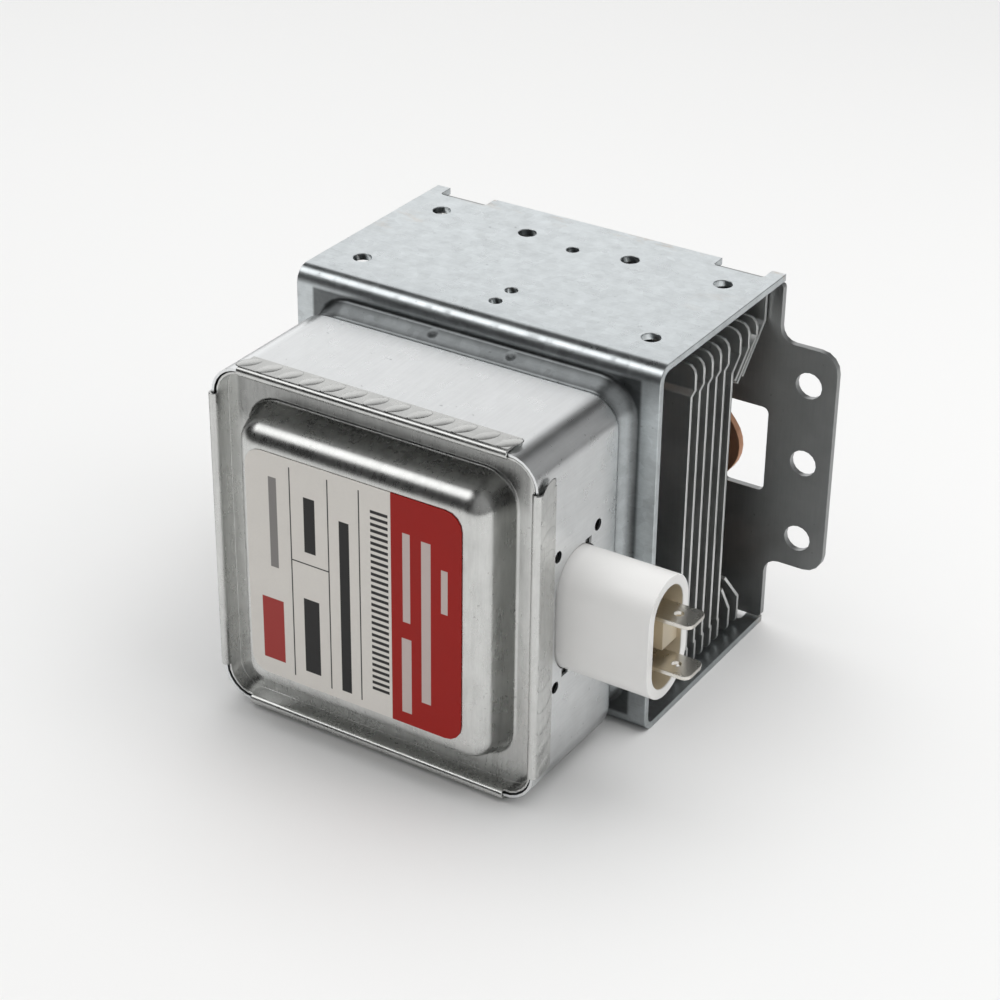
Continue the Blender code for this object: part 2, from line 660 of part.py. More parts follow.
def box_skin():
    """Outer skin of the drawn can: floor with its bore, rounded floor edge, four walls."""
    builder = bmesh.new()
    rings = [add_ring(builder, box_outline(BOX_FLOOR_RADIUS + FLAT_MARGIN), facing_front, BOX_REAR_Y)]
    for step in range(ARC_COUNT):
        angle = math.pi / 2 * step / (ARC_COUNT - 1)
        inset = BOX_FLOOR_RADIUS * (1 - math.sin(angle))
        lift = BOX_FLOOR_RADIUS * (1 - math.cos(angle))
        rings.append(add_ring(builder, box_outline(inset), facing_front, BOX_REAR_Y - lift))
    rings.append(add_ring(builder, box_outline(0.0), facing_front, BOX_FRONT_Y))
    for first, second in zip(rings, rings[1:]):
        join_rings(builder, first, second)
    outline = circle(BOX_BORE_RADIUS, ROUND_COUNT, (0.0, AXIS_Z))
    bore = add_ring(builder, outline, facing_front, BOX_REAR_Y)
    fill_between(builder, [rings[0], bore])
    return builder


def plug_outline(margin, segments=8):
    width = PLUG_WIDTH + 2 * margin
    return rectangle(width, PLUG_TALL + 2 * margin, width / 2, (PLUG_CENTRE_Y, PLUG_CENTRE_Z), segments)


def flange_hole_spots():
    spots = []
    for side in (-1, 1):
        for level in (-1, 1):
            spots.append((
                PLUG_CENTRE_Y + side * FLANGE_HOLE_PITCH_Y / 2,
                PLUG_CENTRE_Z + level * FLANGE_HOLE_PITCH_Z / 2,
            ))
    return spots


def build_box(material):
    box = make_object("filter_box", box_skin(), material)
    face_outwards(box, Vector((0.0, (BOX_REAR_Y + BOX_FRONT_Y) / 2, BOX_CENTRE_Z)))
    thicken(box, BOX_SHEET)
    low, high = BOX_SIDE_X - 3 * BOX_SHEET, BOX_SIDE_X + BOX_SHEET
    shapes = [(plug_outline(SEAT_GAP), facing_side, low, high)]
    for spot in flange_hole_spots():
        shapes.append((circle(FLANGE_HOLE_RADIUS, RIVET_HOLE_COUNT, spot), facing_side, low, high))
    cut(box, make_cutter("box_cutter", shapes))
    shapes = []
    for side in (-1, 1):
        spot = (PLUG_CENTRE_Y + side * PLUG_NOTCH_OUT_Y, PLUG_CENTRE_Z + side * PLUG_NOTCH_OUT_Z)
        shapes.append((rectangle(PLUG_NOTCH_WIDTH, PLUG_NOTCH_TALL, 0.0, spot), facing_side, low, high))
    cut(box, make_cutter("box_notch_cutter", shapes))


def lid_skin():
    """Front skin of the lid: raised panel, rim, upstand, and a hem strip over each side."""
    builder = bmesh.new()
    centre = (0.0, BOX_CENTRE_Z)
    profile = step_profile(
        LID_PANEL_RISE, LID_PANEL_SLOPE, LID_PANEL_EDGE_RADIUS, LID_PANEL_FOOT_RADIUS, 3
    )
    spread = profile[-1][0]
    width = LID_PANEL_WIDTH + 2 * spread
    tall = LID_PANEL_TALL + 2 * spread
    rings = add_step(builder, width, tall, LID_PANEL_CORNER + spread, centre, profile, LID_RIM_Y)
    fill_between(builder, [rings[-1]])
    hem_radius = (BOX_SHEET + CRIMP_GAP + LID_SHEET + SEAT_GAP + LID_SHEET) / 2
    inner_inset = BOX_SHEET + SEAT_GAP + LID_SHEET
    walls = []
    for level in (LID_RIM_Y, HEM_FRONT_Y + hem_radius):
        walls.append(add_ring(builder, box_outline(inner_inset), facing_front, level))
    fill_between(builder, [rings[0], walls[0]])
    join_rings(builder, walls[0], walls[1])
    outwards = (Vector((0, 0, -1)), Vector((1, 0, 0)), Vector((0, 0, 1)), Vector((-1, 0, 0)))
    per_corner = len(walls[1]) // 4
    for side, outward in enumerate(outwards):
        start = walls[1][side * per_corner + per_corner - 1]
        finish = walls[1][((side + 1) % 4) * per_corner]
        strip = [(start, finish)]
        moves = []
        for step in range(1, 7):
            angle = math.pi * step / 6
            moves.append((hem_radius * (1 - math.cos(angle)), -hem_radius * math.sin(angle)))
        moves.append((2 * hem_radius, LID_SKIRT - hem_radius))
        for outward_by, y_by in moves:
            offset = outward * outward_by + Vector((0, y_by, 0))
            strip.append((builder.verts.new(start.co + offset), builder.verts.new(finish.co + offset)))
        for (first, second), (third, fourth) in zip(strip, strip[1:]):
            builder.faces.new((first, second, fourth, third))
    return builder


def build_lid(material):
    lid = make_object("filter_lid", lid_skin(), material)
    face_outwards(lid, Vector((0.0, BOX_REAR_Y, BOX_CENTRE_Z)))
    thicken(lid, LID_SHEET)


def build_label(material):
    rear = LID_PANEL_Y - LABEL_GAP
    outline = rectangle(LABEL_WIDTH, LABEL_TALL, LABEL_CORNER, (LABEL_SHIFT_X, BOX_CENTRE_Z))
    make_slab("front_label", outline, [], facing_front, rear - LABEL_SHEET, rear, material)


def bend_levels(reach, bend):
    """Shift of a fin's bent end, the level of its bend and the tallness of its slant."""
    shift, bend_share, slant_share = bend
    bend_level = FIN_BORE + bend_share * (reach - FIN_BORE)
    return shift, bend_level, slant_share * (bend_level - FIN_BORE - FIN_LAND)


def fin_rows(reach, corner, bend, waist_half_width):
    """Rows from a fin's end towards the axis, as (level, half width, shift along the tube)."""
    shift, bend_level, slant = bend_levels(reach, bend)
    rows = []
    for step in range(FIN_CORNER_COUNT + 1):
        angle = math.pi / 2 * step / FIN_CORNER_COUNT
        half_width = FIN_HALF_WIDTH - corner * (1 - math.sin(angle))
        rows.append((reach - corner * (1 - math.cos(angle)), half_width, shift))
    rows.append((bend_level, FIN_HALF_WIDTH, shift))
    if waist_half_width < FIN_HALF_WIDTH:
        rows.append((bend_level - slant + FIN_SHOULDER, FIN_HALF_WIDTH, shift * FIN_SHOULDER / slant))
    rows.append((bend_level - slant, waist_half_width, 0.0))
    return rows


def fin_skin(middle_y, top, foot, waist_half_width, collar):
    """Front skin of a fin: flat middle, bent top and foot, and a collar round the anode."""
    builder = bmesh.new()
    halves = []
    for side, reach, corner, bend in (
        (1, FIN_TOP, FIN_TOP_CORNER, top), (-1, FIN_FOOT, FIN_FOOT_CORNER, foot),
    ):
        rows = []
        for level, half_width, shift in fin_rows(reach, corner, bend, waist_half_width):
            y = middle_y + shift
            z = AXIS_Z + side * level
            rows.append((builder.verts.new((-half_width, y, z)), builder.verts.new((half_width, y, z))))
        for (left, right), (next_left, next_right) in zip(rows, rows[1:]):
            builder.faces.new((left, right, next_right, next_left))
        halves.append(rows[-1])
    (top_left, top_right), (foot_left, foot_right) = halves
    outline = circle(FIN_BORE, TURNED_COUNT, (0.0, AXIS_Z))
    bore = add_ring(builder, outline, facing_front, middle_y)
    fill_between(builder, [[top_left, top_right, foot_right, foot_left], bore])
    if collar > 0:
        join_rings(builder, bore, add_ring(builder, outline, facing_front, middle_y + collar))
    return builder


def face_front(skin):
    """Turn an open skin's faces so that its flat parts look to the front, along -Y."""
    mesh = skin.data
    builder = bmesh.new()
    builder.from_mesh(mesh)
    bmesh.ops.recalc_face_normals(builder, faces=builder.faces)
    if sum(face.normal.y * face.calc_area() for face in builder.faces) > 0:
        bmesh.ops.reverse_faces(builder, faces=builder.faces)
    builder.to_mesh(mesh)
    builder.free()


def build_fins(material):
    """Evenly spaced fins, then ones that gather in the middle and spread at their ends."""
    fins = []
    for index in range(FIN_STRAIGHT_COUNT):
        middle = FIN_FIRST_Y + index * FIN_PITCH
        fins.append((middle, FIN_TOP_BEND, FIN_FOOT_BEND, FIN_HALF_WIDTH, FIN_COLLAR))
    for index, (top, foot) in enumerate(zip(REAR_FIN_TOP_BENDS, REAR_FIN_FOOT_BENDS)):
        middle = LAST_FIN_Y - (REAR_FIN_COUNT - 1 - index) * REAR_FIN_PITCH
        waist = FIN_HALF_WIDTH if index == 0 else FIN_WAIST_HALF_WIDTH
        fins.append((middle, top, foot, waist, 0.0))
    outline = circle(MAGNET_RADIUS + SEAT_GAP, TURNED_COUNT, (0.0, AXIS_Z))
    room = make_cutter("magnet_room", [(outline, facing_front, REAR_FLANGE_Y, PLATE_REAR_Y)])
    for number, (middle, top, foot, waist, collar) in enumerate(fins, start=1):
        skin = fin_skin(middle - FIN_SHEET / 2, top, foot, waist, collar)
        fin = make_object(f"cooling_fin_{number}", skin, material)
        face_front(fin)
        thicken(fin, FIN_SHEET)
        if middle + top[0] + FIN_SHEET > REAR_FLANGE_Y:
            cut(fin, room)


def build_guide(material):
    """Sheet in front of the plate: upright under the top wall, then slanting along the last fin."""
    reach = YOKE_HEIGHT / 2 - YOKE_SHEET - SEAT_GAP
    shift, fin_bend_level, slant = bend_levels(FIN_TOP, REAR_FIN_TOP_BENDS[-1])
    slope = slant / shift
    upright_y = PLATE_FRONT_Y - GUIDE_FROM_PLATE - FIN_SHEET
    behind_fin = upright_y - (LAST_FIN_Y - FIN_SHEET / 2 + shift)
    bend_level = fin_bend_level + slope * behind_fin - GUIDE_TO_FIN * math.hypot(1, slope)
    foot_level = fin_bend_level - slant + GUIDE_FOOT_ABOVE_FIN
    foot_y = upright_y - (bend_level - foot_level) / slope
    builder = bmesh.new()
    rows = []
    for level, half_width, y in (
        (reach, FIN_HALF_WIDTH - GUIDE_CORNER, upright_y), (reach - GUIDE_CORNER, FIN_HALF_WIDTH, upright_y),
        (bend_level, FIN_HALF_WIDTH, upright_y), (foot_level, FIN_HALF_WIDTH, foot_y),
    ):
        z = AXIS_Z + level
        rows.append((builder.verts.new((-half_width, y, z)), builder.verts.new((half_width, y, z))))
    for (left, right), (next_left, next_right) in zip(rows, rows[1:]):
        builder.faces.new((left, right, next_right, next_left))
    guide = make_object("air_guide", builder, material)
    face_front(guide)
    thicken(guide, FIN_SHEET)
    outline = circle(MAGNET_RADIUS + SEAT_GAP, TURNED_COUNT, (0.0, AXIS_Z))
    cut(guide, make_cutter("guide_room", [(outline, facing_front, ANODE_MIDDLE_Y, PLATE_REAR_Y)]))


def polar(radius, angle):
    return radius * math.cos(angle), AXIS_Z + radius * math.sin(angle)


def build_anode(material):
    """Copper ring with radial vanes that stop short of both of its ends."""
    root = math.asin(VANE_THICK / 2 / ANODE_BORE)
    tip = math.asin(VANE_THICK / 2 / VANE_TIP_RADIUS)
    bay = 2 * math.pi / VANE_COUNT - 2 * root
    bore = []
    tips = []
    for index in range(VANE_COUNT):
        turn = 2 * math.pi * index / VANE_COUNT
        bore.append(polar(ANODE_BORE, turn - root))
        bore.extend(polar(ANODE_BORE, turn + root + bay * facet / BAY_COUNT) for facet in range(BAY_COUNT))
        tips.extend((polar(VANE_TIP_RADIUS, turn - tip), polar(VANE_TIP_RADIUS, turn + tip)))
    per_vane = 1 + BAY_COUNT
    builder = bmesh.new()
    ends = []
    for y, vane_y in ((ANODE_FRONT_Y, VANE_FRONT_Y), (ANODE_REAR_Y, VANE_REAR_Y)):
        outer = add_ring(builder, circle(ANODE_RADIUS, ROUND_COUNT, (0.0, AXIS_Z)), facing_front, y)
        inner = add_ring(builder, bore, facing_front, y)
        fill_between(builder, [outer, inner])
        shelf = add_ring(builder, bore, facing_front, vane_y)
        join_rings(builder, inner, shelf)
        edge = add_ring(builder, tips, facing_front, vane_y)
        ends.append((outer, shelf, edge))
    (outer, front_shelf, front_edge), (rear_outer, rear_shelf, rear_edge) = ends
    join_rings(builder, outer, rear_outer)
    for index in range(VANE_COUNT):
        first = index * per_vane
        front = [front_shelf[first], *front_edge[2 * index:2 * index + 2], front_shelf[first + 1]]
        rear = [rear_shelf[first], *rear_edge[2 * index:2 * index + 2], rear_shelf[first + 1]]
        builder.faces.new(front)
        builder.faces.new(rear)
        for facet in range(1, per_vane):
            front.append(front_shelf[(first + facet + 1) % len(bore)])
            rear.append(rear_shelf[(first + facet + 1) % len(bore)])
        for step in range(len(front) - 1):
            builder.faces.new((front[step], front[step + 1], rear[step + 1], rear[step]))
    make_object("anode_block", builder, material)


def build_straps(material):
    for end, base_y, outwards in (("front", VANE_FRONT_Y, -1), ("rear", VANE_REAR_Y, 1)):
        near = base_y + outwards * SEAT_GAP
        far = near + outwards * STRAP_SHEET
        for ring, radius in (("inner", STRAP_INNER_RADIUS), ("outer", STRAP_OUTER_RADIUS)):
            rim = radius + STRAP_WIDTH
            profile = [(radius, near), (rim, near), (rim, far), (radius, far)]
            make_turned(f"{end}_{ring}_strap", profile, material, 20)


def pole_profile(rim_y, outwards):
    """Flat rim at rim_y and a cone that runs in towards the vanes."""
    inwards = -outwards
    rim_inner = rim_y + inwards * POLE_SHEET
    vane_y = VANE_FRONT_Y if outwards < 0 else VANE_REAR_Y
    tip_y = vane_y + outwards * (SEAT_GAP + STRAP_SHEET + POLE_TO_STRAP)
    tip_outer = POLE_TIP_RADIUS + POLE_TIP_WALL
    return [
        (ANODE_RADIUS, rim_y), (ANODE_RADIUS, rim_inner), (POLE_CONE_OUTER + POLE_SHEET / 2, rim_inner),
        (tip_outer, tip_y), (POLE_TIP_RADIUS, tip_y), (POLE_TIP_RADIUS, tip_y + outwards * POLE_SHEET),
        (POLE_CONE_OUTER, rim_y),
    ]


def build_poles(material):
    make_turned("front_pole_piece", pole_profile(FRONT_POLE_Y, -1), material)
    rear = make_turned("rear_pole_piece", pole_profile(REAR_POLE_Y, 1), material)
    spot = (ANTENNA_ROD_OFFSET, AXIS_Z)
    hole = circle(ANTENNA_ROD_RADIUS + 2 * SEAT_GAP, SMALL_HOLE_COUNT, spot)
    cut(rear, make_cutter("pole_cutter", [(hole, facing_front, ANODE_MIDDLE_Y, REAR_FLANGE_Y)]))


def seal_profile(flange_y, neck_end_y, outwards):
    """Flanged cup: flange against the pole piece, neck through the magnet, lip for the ceramic."""
    inner_face = flange_y - outwards * SEAL_SHEET
    inner_neck = SEAL_NECK_RADIUS - SEAL_SHEET
    lip = SEAL_NECK_RADIUS - SEAL_LIP
    return [
        (ANODE_RADIUS, inner_face), (ANODE_RADIUS, flange_y), (SEAL_NECK_RADIUS, flange_y),
        (SEAL_NECK_RADIUS, neck_end_y), (lip, neck_end_y), (lip, neck_end_y - outwards * SEAL_SHEET),
        (inner_neck, neck_end_y - outwards * SEAL_SHEET), (inner_neck, inner_face),
    ]


def build_envelope(steel, ceramic, cap_steel):
    stem_root = -FRONT_SEAL_REACH - SEAT_GAP
    stem_end = stem_root - STEM_LENGTH
    stem_roof = stem_end + STEM_END_WALL
    make_turned("cathode_end_seal", seal_profile(FRONT_FLANGE_Y, -FRONT_SEAL_REACH, -1), steel)
    stem = make_turned("cathode_stem_ceramic", [
        (STEM_RADIUS, stem_root), (STEM_RADIUS, stem_end), (0.0, stem_end), (0.0, stem_roof),
        (STEM_RADIUS - STEM_WALL, stem_roof), (STEM_RADIUS - STEM_WALL, stem_root),
    ], ceramic)
    past = SEAT_GAP + stem_roof
    shapes = []
    for x in (0.0, SIDE_LEAD_X):
        hole = circle(LEAD_HOLE_RADIUS, SMALL_HOLE_COUNT, (x, AXIS_Z))
        shapes.append((hole, facing_front, stem_end - SEAT_GAP, past))
    cut(stem, make_cutter("stem_cutter", shapes))
    seal_end = PLATE_REAR_Y + REAR_SEAL_REACH
    make_turned("antenna_end_seal", seal_profile(REAR_FLANGE_Y, seal_end, 1), steel)
    ceramic_root = seal_end + SEAT_GAP
    ceramic_end = ceramic_root + ANTENNA_CERAMIC_LENGTH
    inner = ANTENNA_CERAMIC_RADIUS - ANTENNA_CERAMIC_WALL
    make_turned("antenna_ceramic", [
        (ANTENNA_CERAMIC_RADIUS, ceramic_root), (ANTENNA_CERAMIC_RADIUS, ceramic_end),
        (inner, ceramic_end), (inner, ceramic_root),
    ], ceramic)
    cap_root = ceramic_end + SEAT_GAP
    cap_end = cap_root + ANTENNA_CAP_LENGTH
    bend = 1.5 * MM
    make_turned("antenna_cap", [
        (ANTENNA_CAP_RADIUS + ANTENNA_CAP_SHEET, cap_root),
        (ANTENNA_CAP_RADIUS + ANTENNA_CAP_SHEET, cap_root + ANTENNA_CAP_SHEET),
        (ANTENNA_CAP_RADIUS, cap_root + 2 * ANTENNA_CAP_SHEET), (ANTENNA_CAP_RADIUS, cap_end - bend),
        (ANTENNA_CAP_RADIUS - bend / 3, cap_end - bend / 3), (ANTENNA_CAP_RADIUS - bend, cap_end),
        (0.0, cap_end), (0.0, cap_end - ANTENNA_CAP_SHEET),
        (ANTENNA_CAP_RADIUS - ANTENNA_CAP_SHEET, cap_end - bend),
        (ANTENNA_CAP_RADIUS - ANTENNA_CAP_SHEET, cap_root),
    ], cap_steel)
    return stem_end, cap_end - ANTENNA_CAP_SHEET


def build_cathode(stem_end, lead_metal, filament_metal, terminal_metal):
    """Helix between two end hats, carried by a centre lead and a side lead."""
    front_hat = VANE_FRONT_Y - HAT_THICK / 2
    rear_hat = VANE_REAR_Y - HAT_THICK / 2
    lead_start = stem_end - 2 * SEAT_GAP - TERMINAL_SHEET
    bore = LEAD_RADIUS + SEAT_GAP
    make_turned("front_end_hat", [
        (HAT_RADIUS, front_hat), (HAT_RADIUS, front_hat + HAT_THICK),
        (bore, front_hat + HAT_THICK), (bore, front_hat),
    ], lead_metal, 20)
    make_turned("rear_end_hat", [
        (HAT_RADIUS, rear_hat), (HAT_RADIUS, rear_hat + HAT_THICK),
        (0.0, rear_hat + HAT_THICK), (0.0, rear_hat),
    ], lead_metal, 20)
    for name, x, end in (
        ("centre_lead", 0.0, rear_hat - SEAT_GAP), ("side_lead", SIDE_LEAD_X, front_hat - SEAT_GAP),
    ):
        profile = [(0.0, lead_start), (LEAD_RADIUS, lead_start), (LEAD_RADIUS, end), (0.0, end)]
        make_turned(name, profile, lead_metal, 12, axis_x=x)
    start = front_hat + HAT_THICK + SEAT_GAP + FILAMENT_WIRE
    finish = rear_hat - SEAT_GAP - FILAMENT_WIRE
    steps = FILAMENT_TURN_COUNT * FILAMENT_FACET_COUNT
    points = []
    for step in range(steps + 1):
        angle = 2 * math.pi * step / FILAMENT_FACET_COUNT
        y = start + (finish - start) * step / steps
        points.append((FILAMENT_RADIUS * math.cos(angle), y, AXIS_Z + FILAMENT_RADIUS * math.sin(angle)))
    make_wire("cathode_filament", points, FILAMENT_WIRE, filament_metal, 0)
    front = stem_end - SEAT_GAP - TERMINAL_SHEET
    rear = stem_end - SEAT_GAP
    split = SIDE_LEAD_X / 2
    half_gap = 0.4 * MM
    for name, x, low, high in (
        ("centre_stem_terminal", 0.0, -TERMINAL_REACH, split - half_gap),
        ("side_stem_terminal", SIDE_LEAD_X, split + half_gap, SIDE_LEAD_X + TERMINAL_REACH),
    ):
        outline = rectangle(high - low, TERMINAL_WIDTH, 0.4 * MM, ((low + high) / 2, AXIS_Z), 2)
        holes = [circle(LEAD_RADIUS + SEAT_GAP / 2, 12, (x, AXIS_Z))]
        make_slab(name, outline, holes, facing_front, front, rear, terminal_metal)
    return front


def build_antenna_rod(cap_inside, copper):
    start = VANE_REAR_Y + SEAT_GAP
    neck_x = SEAL_NECK_RADIUS - SEAL_SHEET - SEAT_GAP - ANTENNA_ROD_RADIUS
    points = [
        (ANTENNA_ROD_OFFSET, start, AXIS_Z), (ANTENNA_ROD_OFFSET, REAR_POLE_Y - 2 * POLE_SHEET, AXIS_Z),
        (neck_x, REAR_POLE_Y - SEAT_GAP, AXIS_Z), (ANTENNA_ROD_RADIUS / 2, PLATE_REAR_Y, AXIS_Z),
        (0.0, PLATE_REAR_Y + 2 * MM, AXIS_Z), (0.0, cap_inside - SEAT_GAP, AXIS_Z),
    ]
    make_wire("antenna_rod", points, ANTENNA_ROD_RADIUS, copper, 1)


def build_magnets(ferrite):
    outer, bore, edge = MAGNET_RADIUS, MAGNET_BORE, MAGNET_CHAMFER
    for name, front in (("front_magnet", FRONT_MAGNET_Y), ("rear_magnet", REAR_MAGNET_Y - MAGNET_THICK)):
        rear = front + MAGNET_THICK
        make_turned(name, [
            (outer - edge, front), (outer, front + edge), (outer, rear - edge), (outer - edge, rear),
            (bore + edge, rear), (bore, rear - edge), (bore, front + edge), (bore + edge, front),
        ], ferrite)


def build_retainer(copper):
    reach, shoulder_x, shoulder_z = RETAINER_REACH, RETAINER_SHOULDER_X, RETAINER_SHOULDER_Z
    end, shoulder = RETAINER_END_RADIUS, RETAINER_SHOULDER_RADIUS
    end_z = AXIS_Z + WING_ABOVE_AXIS
    outline = rounded([
        (reach, end_z, end), (shoulder_x, AXIS_Z + shoulder_z, shoulder),
        (-shoulder_x, AXIS_Z + shoulder_z, shoulder), (-reach, end_z, end),
        (-shoulder_x, AXIS_Z - shoulder_z, shoulder), (shoulder_x, AXIS_Z - shoulder_z, shoulder),
    ], PRESSED_ARC_COUNT)
    bore = circle(MAGNET_RADIUS + SEAT_GAP, ROUND_COUNT, (0.0, AXIS_Z))
    rear = PLATE_FRONT_Y - SEAT_GAP
    make_slab("magnet_retainer", outline, [bore], facing_front, rear - RETAINER_SHEET, rear, copper)


def build_gasket(mesh_metal):
    front = PLATE_REAR_Y + SEAT_GAP
    rear = front + GASKET_THICK
    inner = SEAL_NECK_RADIUS + SEAT_GAP
    soft = GASKET_THICK / 4
    make_turned("rf_gasket", [
        (GASKET_RADIUS - soft, front), (GASKET_RADIUS, front + soft), (GASKET_RADIUS, rear - soft),
        (GASKET_RADIUS - soft, rear), (inner + soft, rear), (inner, rear - soft), (inner, front + soft),
        (inner + soft, front),
    ], mesh_metal)


def tab_levels():
    return (("upper", PLUG_CENTRE_Z + TAB_PITCH / 2), ("lower", PLUG_CENTRE_Z - TAB_PITCH / 2))


def slot_shapes(low, high):
    shapes = []
    for _, level in tab_levels():
        outline = rectangle(TAB_WIDTH + 2 * SEAT_GAP, TAB_SHEET + 2 * SEAT_GAP, 0.0, (PLUG_CENTRE_Y, level))
        shapes.append((outline, facing_side, low, high))
    return shapes


def build_plug(housing_plastic):
    """Housing of the plug: an oval tube with a floor, and a stepped divider between the tabs."""
    pocket_floor = PLUG_END_X - PLUG_POCKET
    housing = make_slab(
        "connector_housing", plug_outline(0.0), [], facing_side, PLUG_ROOT_X, PLUG_END_X, housing_plastic
    )
    inner_half = PLUG_WIDTH / 2 - PLUG_WALL
    inner_tall = PLUG_TALL / 2 - PLUG_WALL
    half_divider = PLUG_DIVIDER_TALL / 2
    past_end = PLUG_END_X + PLUG_WALL
    shapes = []
    for level in (1, -1):
        chord = PLUG_CENTRE_Z + level * half_divider
        tip = PLUG_CENTRE_Z + level * inner_tall
        low, high = PLUG_CENTRE_Y - inner_half, PLUG_CENTRE_Y + inner_half
        if level > 0:
            corners = [(low, chord, 0.0), (high, chord, 0.0), (high, tip, inner_half), (low, tip, inner_half)]
        else:
            corners = [(low, tip, inner_half), (high, tip, inner_half), (high, chord, 0.0), (low, chord, 0.0)]
        shapes.append((rounded(corners, 8), facing_side, pocket_floor, past_end))
    cut(housing, make_cutter("pocket_cutter", shapes))
    divider_end = PLUG_END_X - PLUG_DIVIDER_SET_BACK
    overlap = 0.1 * MM
    band = rectangle(2 * inner_half, PLUG_DIVIDER_TALL + 2 * overlap, 0.0, (PLUG_CENTRE_Y, PLUG_CENTRE_Z))
    cut(housing, make_cutter("divider_cutter", [(band, facing_side, divider_end, past_end)]))
    step_y = PLUG_CENTRE_Y - inner_half / 2
    shelf = rectangle(inner_half, PLUG_DIVIDER_TALL + 2 * overlap, 0.0, (step_y, PLUG_CENTRE_Z))
    low, high = divider_end - PLUG_DIVIDER_STEP, divider_end + overlap
    cut(housing, make_cutter("step_cutter", [(shelf, facing_side, low, high)]))
    shapes = slot_shapes(PLUG_ROOT_X - SEAT_GAP, pocket_floor + SEAT_GAP)
    cut(housing, make_cutter("housing_slot_cutter", shapes))


def build_capacitor(flange_steel, body_resin):
    flange_outer = BOX_SIDE_X - BOX_SHEET - SEAT_GAP
    outline = rectangle(FLANGE_WIDTH, FLANGE_TALL, FLANGE_CORNER, (PLUG_CENTRE_Y, PLUG_CENTRE_Z), 4)
    holes = [plug_outline(SEAT_GAP, 5)]
    for spot in flange_hole_spots():
        holes.append(circle(FLANGE_HOLE_RADIUS, RIVET_HOLE_COUNT, spot))
    make_slab("capacitor_flange", outline, holes, facing_side, PLUG_ROOT_X, flange_outer, flange_steel)
    outer = PLUG_ROOT_X - SEAT_GAP
    inner = outer - CAPACITOR_LENGTH
    body = make_slab(
        "capacitor_body", plug_outline(CAPACITOR_MARGIN, 5), [], facing_side, inner, outer, body_resin
    )
    cut(body, make_cutter("body_slot_cutter", slot_shapes(inner - SEAT_GAP, outer + SEAT_GAP)))


def build_tabs(tinned_brass):
    tip = BOX_SIDE_X + TAB_REACH
    root = BOX_SIDE_X - TAB_INNER_REACH
    low, high = PLUG_CENTRE_Y - TAB_WIDTH / 2, PLUG_CENTRE_Y + TAB_WIDTH / 2
    outline = rounded([
        (root, low, 0.5 * MM), (tip, low, TAB_TIP_CHAMFER), (tip, high, TAB_TIP_CHAMFER),
        (root, high, 0.5 * MM),
    ], 3)
    hole = circle(TAB_HOLE_RADIUS, SMALL_HOLE_COUNT, (tip - TAB_HOLE_FROM_TIP, PLUG_CENTRE_Y))
    for name, level in tab_levels():
        make_slab(
            f"{name}_terminal_tab", outline, [hole], facing_up,
            level - TAB_SHEET / 2, level + TAB_SHEET / 2, tinned_brass,
        )


def choke_points(level, tab_level, outwards, terminal_x, terminal_y):
    """Lead from the tab, the coil's turns along X, and the lead to the stem terminal."""
    half = CHOKE_TURN_COUNT * CHOKE_PITCH / 2
    steps = CHOKE_FACET_COUNT
    tab_x = BOX_SIDE_X - TAB_INNER_REACH + 2 * MM
    over_tab = tab_level + outwards * (TAB_SHEET / 2 + SEAT_GAP + CHOKE_WIRE)
    bend = 2.0 * MM
    points = [
        (tab_x, PLUG_CENTRE_Y + 2 * MM, over_tab), (tab_x - bend, PLUG_CENTRE_Y + 2 * MM, over_tab),
        (half + bend, PLUG_CENTRE_Y + 2 * MM, over_tab + outwards * bend),
    ]
    for step in range(CHOKE_TURN_COUNT * steps + 1):
        angle = 2 * math.pi * step / steps
        x = half - CHOKE_PITCH * step / steps
        z = level - outwards * CHOKE_RADIUS * math.cos(angle)
        points.append((x, CHOKE_AXIS_Y + CHOKE_RADIUS * math.sin(angle), z))
    landing = terminal_y - SEAT_GAP - CHOKE_WIRE
    points.append((-half - bend, CHOKE_AXIS_Y, level - outwards * (CHOKE_RADIUS + bend / 2)))
    points.append((-half - bend, landing, AXIS_Z + outwards * (TERMINAL_WIDTH + bend)))
    points.append((terminal_x, landing, AXIS_Z + outwards * (TERMINAL_WIDTH / 2)))
    return points


def build_chokes(terminal_y, enamelled_copper, ferrite):
    tabs = dict(tab_levels())
    for name, outwards, tab_level, terminal_x in (
        ("upper", 1, tabs["upper"], -TERMINAL_REACH + 2 * MM),
        ("lower", -1, tabs["lower"], SIDE_LEAD_X + TERMINAL_REACH - 2 * MM),
    ):
        level = AXIS_Z + outwards * CHOKE_ABOVE_AXIS
        points = choke_points(level, tab_level, outwards, terminal_x, terminal_y)
        make_wire(f"{name}_choke_coil", points, CHOKE_WIRE, enamelled_copper, 1)
        outline = circle(CORE_RADIUS, 16, (CHOKE_AXIS_Y, level))
        half = CORE_LENGTH / 2
        make_slab(f"{name}_choke_core", outline, [], facing_side, -half, half, ferrite)


def centre_on_underside():
    """Move everything so that the middle of the yoke's underside is at the origin."""
    frame = bpy.data.objects.new("magnetron_frame", None)
    frame.location = (0.0, -YOKE_DEPTH / 2, 0.0)
    bpy.context.scene.collection.objects.link(frame)
    for made in bpy.context.scene.collection.objects:
        if made != frame:
            made.parent = frame


